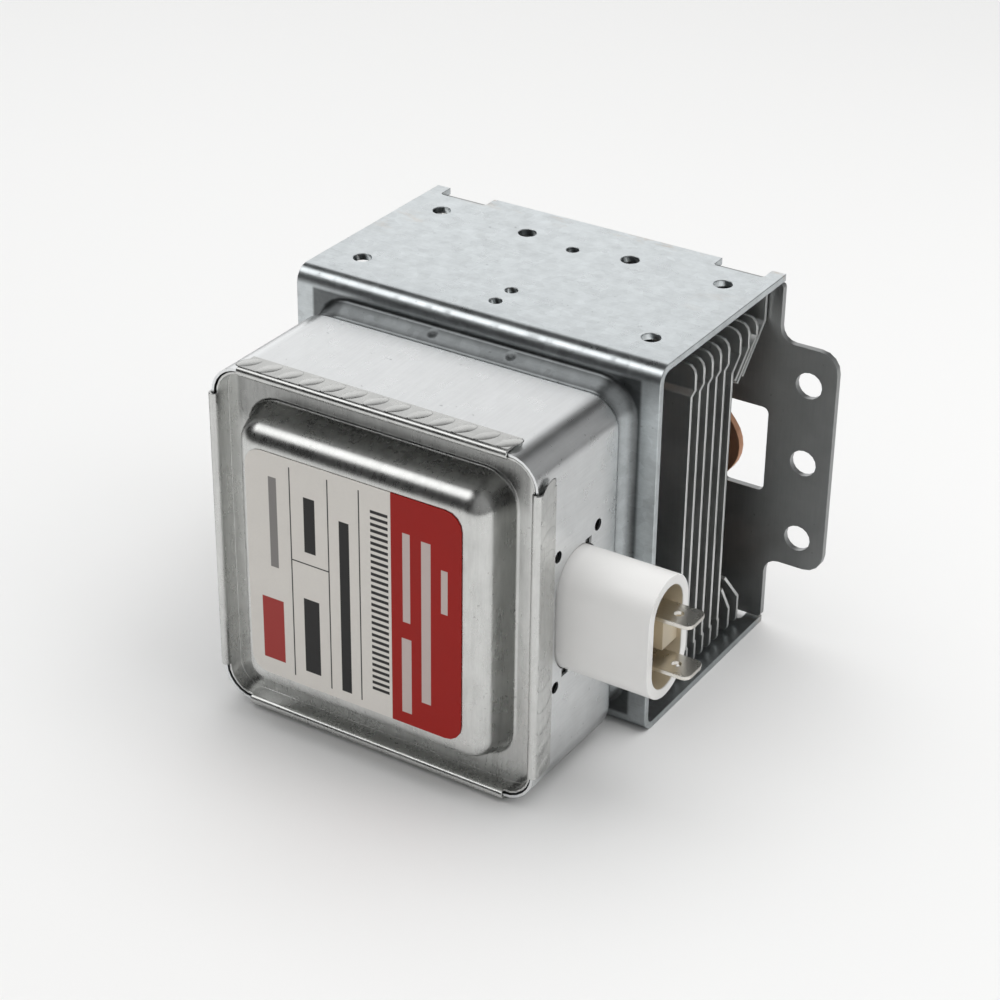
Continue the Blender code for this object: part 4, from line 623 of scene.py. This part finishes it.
SOFT_EDGES = {
    "yoke_frame": 0.22 * MM, "mounting_plate": 0.20 * MM, "filter_lid": 0.10 * MM,
    "filter_box": 0.10 * MM, "connector_housing": 0.30 * MM, "upper_terminal_tab": 0.12 * MM,
    "lower_terminal_tab": 0.12 * MM, "air_guide": 0.12 * MM, "magnet_retainer": 0.15 * MM,
    **{f"cooling_fin_{number}": 0.12 * MM for number in range(1, 9)},
}
SMOOTH_LIMIT = math.radians(38)

smoothing = Recipe("smooth_below_an_angle", {"Geometry": "NodeSocketGeometry"})
faces = smoothing.node("GeometryNodeSetShadeSmooth", {"Geometry": smoothing.given.outputs["Geometry"]})
fold = smoothing.node("GeometryNodeInputMeshEdgeAngle").outputs["Unsigned Angle"]
gentle = smoothing.node("GeometryNodeSetShadeSmooth", {
    "Geometry": faces.outputs["Geometry"], "Shade Smooth": smoothing.maths("LESS_THAN", fold, SMOOTH_LIMIT),
}, domain="EDGE")
smoothing.group.links.new(gentle.outputs["Geometry"], smoothing.result.inputs["Geometry"])


def dress(piece, material, edge_width):
    """Give a piece its material, smooth its curves and round its sharp edges."""
    piece.data.materials.clear()
    piece.data.materials.append(material)
    piece.modifiers.new("join", "WELD").merge_threshold = 0.002 * MM
    piece.modifiers.new("smooth", "NODES").node_group = smoothing.group
    if edge_width:
        bevel = piece.modifiers.new("round", "BEVEL")
        bevel.width = edge_width
        bevel.segments = 2
        bevel.limit_method = "ANGLE"
        bevel.angle_limit = SMOOTH_LIMIT
    piece.modifiers.new("shade", "WEIGHTED_NORMAL").keep_sharp = True


for material, names in FINISHES.items():
    for name in names:
        dress(nodes[name], material, SOFT_EDGES.get(name))
print("nodes with a new surface:", sum(len(names) for names in FINISHES.values()))

# %% [markdown]
# ## A finer raised panel on the lid
# The lid's solid has a tighter shoulder than the photo. Here its panel is cut out of a copy and
# pressed again with a wider one: rows of points follow the same outline, front and back.

# %% Lid panel
# Each press is its rise, its slope, the radius at its foot and the radius at its shoulder.
PANEL_PRESS = (7.9 * MM, math.radians(70), 0.8 * MM, 4.6 * MM)
SEAT_PRESS = (3.9 * MM, math.radians(58), 1.2 * MM, 1.4 * MM)
WELD_REACH = 0.002 * MM
FOOT_STEPS, SHOULDER_STEPS = 4, 12
PANEL_REACH = Vector((29.9 * MM, 30.7 * MM))
LID_SHEET = 0.45 * MM


def pressed_rows(rise, slope, foot_radius, shoulder_radius):
    """Inset, height and tilt of each row of a pressed step, from its foot to its flat."""
    rows = []
    for step in range(FOOT_STEPS + 1):
        tilt = slope * step / FOOT_STEPS
        rows.append((foot_radius * math.sin(tilt), foot_radius * (1 - math.cos(tilt)), tilt))
    straight = rise - (foot_radius + shoulder_radius) * (1 - math.cos(slope))
    flat_inset = rows[-1][0] + straight / math.tan(slope) + shoulder_radius * math.sin(slope)
    for step in range(SHOULDER_STEPS + 1):
        tilt = slope * (1 - step / SHOULDER_STEPS)
        rows.append((
            flat_inset - shoulder_radius * math.sin(tilt),
            rise - shoulder_radius * (1 - math.cos(tilt)),
            tilt,
        ))
    return rows


def loop_order(edges):
    """The corners of a closed loop of edges, in order."""
    first = edges[0].verts[0]
    order = [first]
    last_edge, here = edges[0], edges[0].verts[1]
    wanted = set(edges)
    while here is not first:
        order.append(here)
        last_edge = next(edge for edge in here.link_edges if edge in wanted and edge is not last_edge)
        here = last_edge.other_vert(here)
    return order


def press_panel(builder, loop, back):
    """Rows of faces from a foot loop up to a flat face; back is the sheet's thickness or 0."""
    half_x = max(abs(corner.co.x) for corner in loop)
    half_z = max(abs(corner.co.z - BOX_CENTRE_Z) for corner in loop)
    straight_end = max(abs(corner.co.x) for corner in loop if abs(corner.co.z - BOX_CENTRE_Z) > half_z - 1e-6)
    radius = half_x - straight_end
    plane = loop[0].co.y - back
    last = loop
    for inset, rise, tilt in pressed_rows(*PANEL_PRESS)[1:]:
        inset += back * math.sin(tilt)
        row = []
        for corner in loop:
            side_x = math.copysign(half_x - radius, corner.co.x)
            side_z = math.copysign(half_z - radius, corner.co.z - BOX_CENTRE_Z)
            out = Vector((corner.co.x - side_x, corner.co.z - BOX_CENTRE_Z - side_z)).normalized()
            row.append(builder.verts.new((
                side_x + out.x * (radius - inset),
                plane - rise + back * math.cos(tilt),
                BOX_CENTRE_Z + side_z + out.y * (radius - inset),
            )))
        for index, corner in enumerate(row):
            builder.faces.new((last[index - 1], last[index], corner, row[index - 1]))
        last = row
    builder.faces.new(last)
    return radius


lid_mesh = nodes["filter_lid"].data.copy()
builder = bmesh.new()
builder.from_mesh(lid_mesh)
bmesh.ops.remove_doubles(builder, verts=builder.verts, dist=WELD_REACH)
inside = {
    corner for corner in builder.verts
    if abs(corner.co.x) < PANEL_REACH.x and abs(corner.co.z - BOX_CENTRE_Z) < PANEL_REACH.y
}
old_panel = [face for face in builder.faces if all(corner in inside for corner in face.verts)]
bmesh.ops.delete(builder, geom=old_panel, context="FACES")
rim_edges = [edge for edge in builder.edges if edge.is_boundary]
rim_edges.sort(key=lambda edge: edge.verts[0].co.y + edge.verts[1].co.y)
half_count = len(rim_edges) // 2
for edges, back in ((rim_edges[:half_count], 0.0), (rim_edges[half_count:], LID_SHEET)):
    corner_radius = press_panel(builder, loop_order(edges), back)
bmesh.ops.recalc_face_normals(builder, faces=builder.faces)
open_edges = sum(not edge.is_manifold for edge in builder.edges)
builder.to_mesh(lid_mesh)
builder.free()
pressed_lid = bpy.data.objects.new("pressed_lid", lid_mesh)
bpy.context.scene.collection.objects.link(pressed_lid)
dress(pressed_lid, lid_steel, SOFT_EDGES["filter_lid"])
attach(pressed_lid, "root")
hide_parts("filter_lid")
print("panel corner, mm:", round(corner_radius / MM, 2), "open edges:", open_edges)

# %% [markdown]
# ## A rounder seat on the yoke
# The raised seat behind the box has a steeper slope in the solid than in the photo. Only the
# slope is cut out of a copy. Its foot and its top stay, and finer rows are laid between them.

# %% Yoke seat
SEAT_ZONE = Vector((36.3 * MM, 36.2 * MM))
SEAT_BORE = 30.0 * MM
SEAT_DEEP = 5.5 * MM
FLAT_NORMAL = 0.995


def closed_loops(edges):
    """Separate loops of boundary edges."""
    left = set(edges)
    loops = []
    while left:
        first = left.pop()
        chain = [first]
        here = first.verts[1]
        while here is not first.verts[0]:
            after = next(edge for edge in here.link_edges if edge in left)
            left.discard(after)
            chain.append(after)
            here = after.other_vert(here)
        loops.append(chain)
    return loops


def lay_rows(builder, foot, top):
    """Rows of faces between two loops that have the same number of corners."""
    nearest = min(range(len(top)), key=lambda index: (top[index].co - foot[0].co).length)
    top = top[nearest:] + top[:nearest]
    if (top[1].co - foot[1].co).length > (top[-1].co - foot[1].co).length:
        top = [top[0]] + top[:0:-1]
    rows = pressed_rows(*SEAT_PRESS)
    full_inset, full_rise, _ = rows[-1]
    last = foot
    for inset, rise, _ in rows[1:-1]:
        row = []
        for low, high in zip(foot, top):
            across = low.co.lerp(high.co, inset / full_inset)
            row.append(builder.verts.new((
                across.x, low.co.y + (high.co.y - low.co.y) * rise / full_rise, across.z,
            )))
        for index, corner in enumerate(row):
            builder.faces.new((last[index - 1], last[index], corner, row[index - 1]))
        last = row
    for index, corner in enumerate(top):
        builder.faces.new((last[index - 1], last[index], corner, top[index - 1]))


yoke_mesh = nodes["yoke_frame"].data.copy()
builder = bmesh.new()
builder.from_mesh(yoke_mesh)
bmesh.ops.remove_doubles(builder, verts=builder.verts, dist=WELD_REACH)
slope_faces = []
for face in builder.faces:
    middle_point = face.calc_center_median()
    from_axis = Vector((middle_point.x, middle_point.z - AXIS_Z))
    in_zone = abs(from_axis.y) < SEAT_ZONE.y and all(abs(corner.co.x) < SEAT_ZONE.x for corner in face.verts)
    in_wall = middle_point.y < yoke_low.y + SEAT_DEEP
    is_slope = abs(face.normal.y) < FLAT_NORMAL and from_axis.length > SEAT_BORE
    if in_zone and in_wall and is_slope:
        slope_faces.append(face)
bmesh.ops.delete(builder, geom=slope_faces, context="FACES")
seat_loops = [loop_order(loop) for loop in closed_loops([edge for edge in builder.edges if edge.is_boundary])]
seat_loops.sort(key=lambda loop: loop[0].co.y)
print("seat loops, y mm and corners:", [(round(loop[0].co.y / MM, 2), len(loop)) for loop in seat_loops])
front_top, back_top, front_foot, back_foot = seat_loops
lay_rows(builder, front_foot, front_top)
lay_rows(builder, back_foot, back_top)
bmesh.ops.recalc_face_normals(builder, faces=builder.faces)
open_edges = sum(not edge.is_manifold for edge in builder.edges)
builder.to_mesh(yoke_mesh)
builder.free()
pressed_yoke = bpy.data.objects.new("pressed_yoke", yoke_mesh)
bpy.context.scene.collection.objects.link(pressed_yoke)
dress(pressed_yoke, galvanised, SOFT_EDGES["yoke_frame"])
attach(pressed_yoke, "root")
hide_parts("yoke_frame")
print("open edges on the pressed yoke:", open_edges)

# %% [markdown]
# ## Crimp marks on the lid's skirts
# The lid is held by a row of slanted marks on each skirt. One tree lays a line of closed, low
# caps cut from a flattened dome, and each skirt calls it with its own start, step and turn. The
# caps are sunk into the lid on purpose, and the rows that meet at a cap's rim are welded.

# %% Crimp marks
CRIMP_PITCH = 4.65 * MM
CRIMP_SIZE = (2.1 * MM, 3.8 * MM, 0.42 * MM)
FAR_CRIMP_SIZE = (2.1 * MM, 3.8 * MM, 0.20 * MM)
CRIMP_SUNK = 0.76
CRIMP_BASE = CRIMP_SUNK - 0.04
CRIMP_MERGE = 0.002
CRIMP_SLANT = math.radians(33)
CRIMP_MIDDLE_Y = lid_high.y - 2.6 * MM
SIDE_TURN = tuple((Matrix.Rotation(CRIMP_SLANT, 3, "X") @ Matrix.Rotation(math.pi / 2, 3, "Y")).to_euler())

marks = Recipe("row_of_marks", {
    "Count": "NodeSocketInt", "Start": "NodeSocketVector", "Step": "NodeSocketVector",
    "Size": "NodeSocketVector", "Turn": "NodeSocketVector", "Material": "NodeSocketMaterial",
})
line = marks.node("GeometryNodeMeshLine", {
    "Count": marks.given.outputs["Count"], "Start Location": marks.given.outputs["Start"],
    "Offset": marks.given.outputs["Step"],
})
dome = marks.node("GeometryNodeMeshUVSphere", {"Segments": 32, "Rings": 24, "Radius": 1.0})
here = marks.node("GeometryNodeInputPosition").outputs["Position"]
place = marks.node("ShaderNodeSeparateXYZ", {"Vector": here})
level = marks.maths("SUBTRACT", marks.maths("MAXIMUM", place.outputs["Z"], CRIMP_BASE), CRIMP_SUNK)
height_squared = marks.maths("MULTIPLY", place.outputs["Z"], place.outputs["Z"])
reach = marks.maths("SQRT", marks.maths("SUBTRACT", 1.0001, height_squared))
rim_radius = math.sqrt(1 - CRIMP_BASE ** 2)
inwards = marks.maths("MINIMUM", 1.0, marks.maths("DIVIDE", rim_radius, reach))
cap = marks.node("GeometryNodeSetPosition", {
    "Geometry": dome.outputs["Mesh"],
    "Position": marks.node("ShaderNodeCombineXYZ", {
        "X": marks.maths("MULTIPLY", place.outputs["X"], inwards),
        "Y": marks.maths("MULTIPLY", place.outputs["Y"], inwards), "Z": level,
    }).outputs["Vector"],
})
closed_cap = marks.node("GeometryNodeMergeByDistance", {
    "Geometry": cap.outputs["Geometry"], "Distance": CRIMP_MERGE,
})
turned = marks.node("FunctionNodeEulerToRotation", {"Euler": marks.given.outputs["Turn"]})
row = marks.node("GeometryNodeInstanceOnPoints", {
    "Points": line.outputs["Mesh"], "Instance": closed_cap.outputs["Geometry"],
    "Rotation": turned.outputs["Rotation"], "Scale": marks.given.outputs["Size"],
})
marks.deliver(row.outputs["Instances"])

ACROSS, UPWARDS = (CRIMP_PITCH, 0, 0), (0, 0, CRIMP_PITCH)
FIRST_X, FIRST_Z, ABOVE_PLUG_Z = -28.0 * MM, 9.5 * MM, 53.0 * MM
CRIMP_ROWS = {
    "crimps_top": (13, (FIRST_X, CRIMP_MIDDLE_Y, lid_high.z), ACROSS, (0, 0, -CRIMP_SLANT)),
    "crimps_bottom": (13, (FIRST_X, CRIMP_MIDDLE_Y, lid_low.z), ACROSS, (0, 0, CRIMP_SLANT)),
    "crimps_right_high": (4, (lid_high.x, CRIMP_MIDDLE_Y, ABOVE_PLUG_Z), UPWARDS, SIDE_TURN),
    "crimps_right_low": (6, (lid_high.x, CRIMP_MIDDLE_Y, FIRST_Z), UPWARDS, SIDE_TURN),
    "crimps_left": (13, (lid_low.x, CRIMP_MIDDLE_Y, FIRST_Z), UPWARDS, SIDE_TURN),
}
for name, (count, start, step, turn) in CRIMP_ROWS.items():
    size = FAR_CRIMP_SIZE if name in ("crimps_left", "crimps_bottom") else CRIMP_SIZE
    marks.grow(
        name, "lid_steel", count=count, start=start, step=step, size=size, turn=turn, material=lid_steel
    )
print("crimp marks:", sum(row[0] for row in CRIMP_ROWS.values()))

# %% [markdown]
# ## Burrs round the punched holes
# A punch leaves a thin rolled lip. The tree puts a ring of round wire on every point that it is
# given. The rings lie just under the sheet's faces, so that they add nothing to its height.

# %% Hole rims
HOLE_OUTER_X, HOLE_INNER_X = 32.0 * MM, 11.7 * MM
HOLE_FRONT_Y, HOLE_REAR_Y = 10.7 * MM, 38.5 * MM
HOLE_PLACES = ((HOLE_OUTER_X, HOLE_FRONT_Y), (HOLE_OUTER_X, HOLE_REAR_Y), (HOLE_INNER_X, HOLE_REAR_Y))
TOP_HOLES = [(side * x, y) for side in (-1, 1) for x, y in HOLE_PLACES]
PILOT_HOLES = [(0.0, y) for y in (8.3 * MM, 13.9 * MM, 36.4 * MM)]
HOLE_LIP_RADIUS, PILOT_LIP_RADIUS = 1.96 * MM, 1.40 * MM
LIP_WIRE = 0.13 * MM
LIP_SUNK = 0.14 * MM

rims = Recipe("hole_rims", {
    "Points": "NodeSocketGeometry", "Radius": "NodeSocketFloat", "Wire": "NodeSocketFloat",
    "Material": "NodeSocketMaterial",
})
ring = rims.node("GeometryNodeCurvePrimitiveCircle", {
    "Resolution": 32, "Radius": rims.given.outputs["Radius"],
})
wire = rims.node("GeometryNodeCurvePrimitiveCircle", {
    "Resolution": 8, "Radius": rims.given.outputs["Wire"],
})
lip = rims.node("GeometryNodeCurveToMesh", {
    "Curve": ring.outputs["Curve"], "Profile Curve": wire.outputs["Curve"],
})
spread = rims.node("GeometryNodeInstanceOnPoints", {
    "Points": rims.given.outputs["Points"], "Instance": lip.outputs["Mesh"],
})
rims.deliver(spread.outputs["Instances"])

for name, holes, radius in (
    ("hole_lips", TOP_HOLES, HOLE_LIP_RADIUS),
    ("pilot_lips", PILOT_HOLES, PILOT_LIP_RADIUS),
):
    spots = []
    for x, y in holes:
        spots.append((x, YOKE_FRONT_Y + y, yoke_high.z - LIP_SUNK))
        spots.append((x, YOKE_FRONT_Y + y, yoke_low.z + LIP_SUNK))
    rims.grow(name, "galvanised_steel", spots, radius=radius, wire=LIP_WIRE, material=galvanised)
print("lipped holes:", 2 * len(TOP_HOLES + PILOT_HOLES))

# %% [markdown]
# ## The knitted gasket
# A soft ring of knitted wire seals the antenna's opening. One strand winds once round the
# ring's section while it advances. The tree repeats it, and a second call winds the other way.
# The strands have closed ends and cross each other and the dark core inside them on purpose.

# %% Gasket braid
GASKET_STRANDS = 84
GASKET_WIRE = 0.11 * MM
GASKET_ADVANCE = math.radians(38)
GASKET_CENTRE = Vector((0.0, (gasket_low.y + gasket_high.y) / 2, AXIS_Z))
GASKET_HALF_THICK = (gasket_high.y - gasket_low.y) / 2 - 2 * GASKET_WIRE
GASKET_OUTER = (gasket_high.x - gasket_low.x) / 2
GASKET_INNER = 10.2 * MM
GASKET_RING = (GASKET_OUTER + GASKET_INNER) / 2
GASKET_HALF_WIDE = (GASKET_OUTER - GASKET_INNER) / 2 - 2 * GASKET_WIRE

braid = Recipe("gasket_braid", {
    "Strands": "NodeSocketInt", "Advance": "NodeSocketFloat", "Wire": "NodeSocketFloat",
    "Material": "NodeSocketMaterial",
})
STRAND_POINTS = 25
strand = braid.node("GeometryNodeMeshLine", {"Count": STRAND_POINTS})
along = braid.maths("DIVIDE", braid.node("GeometryNodeInputIndex").outputs["Index"], STRAND_POINTS - 1.0)
around_section = braid.maths("MULTIPLY", along, 2 * math.pi)
around_ring = braid.maths("MULTIPLY", along, braid.given.outputs["Advance"])
reach = braid.maths(
    "ADD", GASKET_RING,
    braid.maths("MULTIPLY", braid.maths("COSINE", around_section), GASKET_HALF_WIDE),
)
bent = braid.node("ShaderNodeCombineXYZ", {
    "X": braid.maths("MULTIPLY", reach, braid.maths("COSINE", around_ring)),
    "Y": braid.maths("MULTIPLY", braid.maths("SINE", around_section), GASKET_HALF_THICK),
    "Z": braid.maths("MULTIPLY", reach, braid.maths("SINE", around_ring)),
})
wound = braid.node("GeometryNodeSetPosition", {
    "Geometry": strand.outputs["Mesh"], "Position": bent.outputs["Vector"],
})
as_curve = braid.node("GeometryNodeMeshToCurve", {"Mesh": wound.outputs["Geometry"]})
section = braid.node("GeometryNodeCurvePrimitiveCircle", {
    "Resolution": 6, "Radius": braid.given.outputs["Wire"],
})
tube = braid.node("GeometryNodeCurveToMesh", {
    "Curve": as_curve.outputs["Curve"], "Profile Curve": section.outputs["Curve"],
    "Fill Caps": True,
})
copies = braid.node("GeometryNodePoints", {"Count": braid.given.outputs["Strands"]})
strand_number = braid.node("GeometryNodeInputIndex").outputs["Index"]
share = braid.maths("DIVIDE", strand_number, GASKET_STRANDS / (2 * math.pi))
facing = braid.node("ShaderNodeCombineXYZ", {"Y": share})
turned = braid.node("FunctionNodeEulerToRotation", {"Euler": facing.outputs["Vector"]})
woven = braid.node("GeometryNodeInstanceOnPoints", {
    "Points": copies.outputs["Points"], "Instance": tube.outputs["Mesh"],
    "Rotation": turned.outputs["Rotation"],
})
braid.deliver(woven.outputs["Instances"])

gasket_wire = sheet_metal("gasket_wire", (0.66, 0.64, 0.58), 0.34, 0.0)
for name, advance in (("gasket_braid_right", GASKET_ADVANCE), ("gasket_braid_left", -GASKET_ADVANCE)):
    strands = braid.grow(
        name, "gasket_mesh", strands=GASKET_STRANDS, advance=advance, wire=GASKET_WIRE, material=gasket_wire
    )
    strands.data.transform(Matrix.Translation(GASKET_CENTRE))

core_mesh = bpy.data.meshes.new("gasket_core")
CORE_ROUND, CORE_SECTION = 64, 20
core_points = []
core_faces = []
for step in range(CORE_ROUND):
    ring_angle = 2 * math.pi * step / CORE_ROUND
    for part in range(CORE_SECTION):
        section_angle = 2 * math.pi * part / CORE_SECTION
        reach_here = GASKET_RING + (GASKET_HALF_WIDE - GASKET_WIRE / 2) * math.cos(section_angle)
        core_points.append((
            reach_here * math.cos(ring_angle),
            GASKET_CENTRE.y + (GASKET_HALF_THICK - GASKET_WIRE / 2) * math.sin(section_angle),
            AXIS_Z + reach_here * math.sin(ring_angle),
        ))
        after, beside = (step + 1) % CORE_ROUND, (part + 1) % CORE_SECTION
        core_faces.append((
            step * CORE_SECTION + part, step * CORE_SECTION + beside,
            after * CORE_SECTION + beside, after * CORE_SECTION + part,
        ))
core_mesh.from_pydata(core_points, [], core_faces)
core_mesh.shade_smooth()
core_mesh.materials.append(sheet_metal("gasket_core_wire", (0.24, 0.23, 0.21), 0.55, 0.0))
gasket_core = bpy.data.objects.new("gasket_core", core_mesh)
bpy.context.scene.collection.objects.link(gasket_core)
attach(gasket_core, "root")
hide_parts("rf_gasket")
print("gasket strands:", 2 * GASKET_STRANDS)

# %% [markdown]
# ## Floor, light and camera
# The floor is one pale sheet that fills the picture. A broad lamp hangs above and behind, and a
# weaker one fills from the right. Mirror rays see another sky than the rest: a dark room with a
# window, a side wall and a softbox, so that each fold in the metal has something to reflect.
# They also see painted shade on the floor: darker stretches near the camera, beside the yoke and under the
# box.

# %% Floor
FLOOR_SIZE = 6.0
floor_mesh = bpy.data.meshes.new("studio_floor")
half = FLOOR_SIZE / 2
floor_mesh.from_pydata(
    [(-half, -half, 0.0), (half, -half, 0.0), (half, half, 0.0), (-half, half, 0.0)], [], [(0, 1, 2, 3)]
)
floor = bpy.data.objects.new("studio_floor", floor_mesh)
bpy.context.scene.collection.objects.link(floor)
floor_skin = Surface("floor_paper")
floor_cloud = floor_skin.noise(3.0, 2.0, 0.5)
in_mirror = Field(floor_skin, floor_skin.node("ShaderNodeLightPath").outputs["Is Glossy Ray"])
# In mirror rays the floor is painted darker near the camera, beside the yoke and under the box: a painted
# shade and a painted contact shadow.
near_painted_shade = 1.0 - floor_skin.y.step(-0.60, -0.25)
beside = floor_skin.x.step(0.04, 0.07) * floor_skin.y.step(-0.04, 0.0)
painted_contact_shadow = (1.0 - floor_skin.x.step(0.038, 0.052)) * floor_skin.y.step(-0.052, -0.046)
painted_mirror_shade = (0.92 * near_painted_shade + 0.36 * beside + 0.5 * painted_contact_shadow).at_most(1.0)
# The floor is painted darker away from the camera, a painted falloff of the light.
far_painted_falloff = 0.10 * floor_skin.y.step(0.05, 0.60)
floor_level = (0.985 + 0.03 * floor_cloud - far_painted_falloff) * (1.0 - in_mirror * painted_mirror_shade)
floor_mesh.materials.append(floor_skin.finish(floor_skin.tint((0.86, 0.86, 0.855), floor_level), 0.85))

world = bpy.data.worlds.new("studio_sky")
bpy.context.scene.world = world
world.use_nodes = True
sky = Tree(world.node_tree)
aside, away, height = sky.axes(sky.node("ShaderNodeTexCoord").outputs["Generated"])
window = away.step(0.0, 0.35) * (1.0 - height.step(0.54, 0.66)) * (1.0 - aside.step(-0.28, 0.02))
SOFTBOX_TOWARDS = Vector((-0.45, -0.38, 0.80)).normalized()
facing = aside * SOFTBOX_TOWARDS.x + away * SOFTBOX_TOWARDS.y + height * SOFTBOX_TOWARDS.z
softbox = facing.step(math.cos(math.radians(24)), math.cos(math.radians(6)))
side_wall = aside.step(0.05, 0.40) * height.step(0.0, 0.10)
mirrored = 0.02 + 1.05 * window + 0.30 * side_wall + 2.0 * softbox
DOME_TOWARDS = Vector((-0.15, 0.45, 0.86)).normalized()
above = aside * DOME_TOWARDS.x + away * DOME_TOWARDS.y + height * DOME_TOWARDS.z
even = 0.38 + 0.48 * above.at_least(0.0)
is_mirrored = Field(sky, sky.node("ShaderNodeLightPath").outputs["Is Glossy Ray"])
brightness = mirrored * is_mirrored + even * (1.0 - is_mirrored)
sky.feed(world.node_tree.nodes["Background"].inputs["Color"], sky.tint((1.0, 1.0, 1.0), brightness))


def lamp(name, place, target, size, power):
    light = bpy.data.lights.new(name, "AREA")
    light.shape = "RECTANGLE"
    light.size, light.size_y = size
    light.energy = power
    holder = bpy.data.objects.new(name, light)
    holder.location = place
    direction = Vector(target) - Vector(place)
    holder.rotation_euler = direction.to_track_quat("-Z", "Y").to_euler()
    bpy.context.scene.collection.objects.link(holder)
    return holder


middle = (cad_box[0][2] + cad_box[1][2]) / 2
ceiling = lamp("ceiling_lamp", (-0.02, 0.24, 1.1 + middle), (0, 0, middle), (1.3, 1.1), 6.0)
side = lamp("side_lamp", (0.55, 0.05, 0.85 + middle), (0, 0, middle), (0.6, 0.6), 2.0)
ceiling.visible_glossy = side.visible_glossy = False

# %% Camera
CAMERA_AZIMUTH = math.radians(31.94)
CAMERA_ELEVATION = math.radians(29.51)
CAMERA_ROLL = math.radians(0.72)
CAMERA_PLACE = (0.22996, -0.38280, 0.28039)
CAMERA_LENS = 91.69

back = Vector((
    math.sin(CAMERA_AZIMUTH) * math.cos(CAMERA_ELEVATION),
    -math.cos(CAMERA_AZIMUTH) * math.cos(CAMERA_ELEVATION),
    math.sin(CAMERA_ELEVATION),
))
right = Vector((math.cos(CAMERA_AZIMUTH), math.sin(CAMERA_AZIMUTH), 0.0))
up = back.cross(right)
rolled_right = right * math.cos(CAMERA_ROLL) + up * math.sin(CAMERA_ROLL)
rolled_up = up * math.cos(CAMERA_ROLL) - right * math.sin(CAMERA_ROLL)
camera_data = bpy.data.cameras.new("photo_camera")
camera_data.lens = CAMERA_LENS
camera_data.sensor_width = 36.0
camera_data.clip_start = 0.01
camera = bpy.data.objects.new("photo_camera", camera_data)
bpy.context.scene.collection.objects.link(camera)
turn = Matrix((rolled_right, rolled_up, back)).transposed().to_4x4()
camera.matrix_world = Matrix.Translation(CAMERA_PLACE) @ turn
bpy.context.scene.camera = camera
bpy.context.scene.view_settings.view_transform = "Standard"
angles = [round(math.degrees(angle), 2) for angle in (CAMERA_AZIMUTH, CAMERA_ELEVATION)]
print("camera looks from azimuth and elevation, degrees:", *angles)
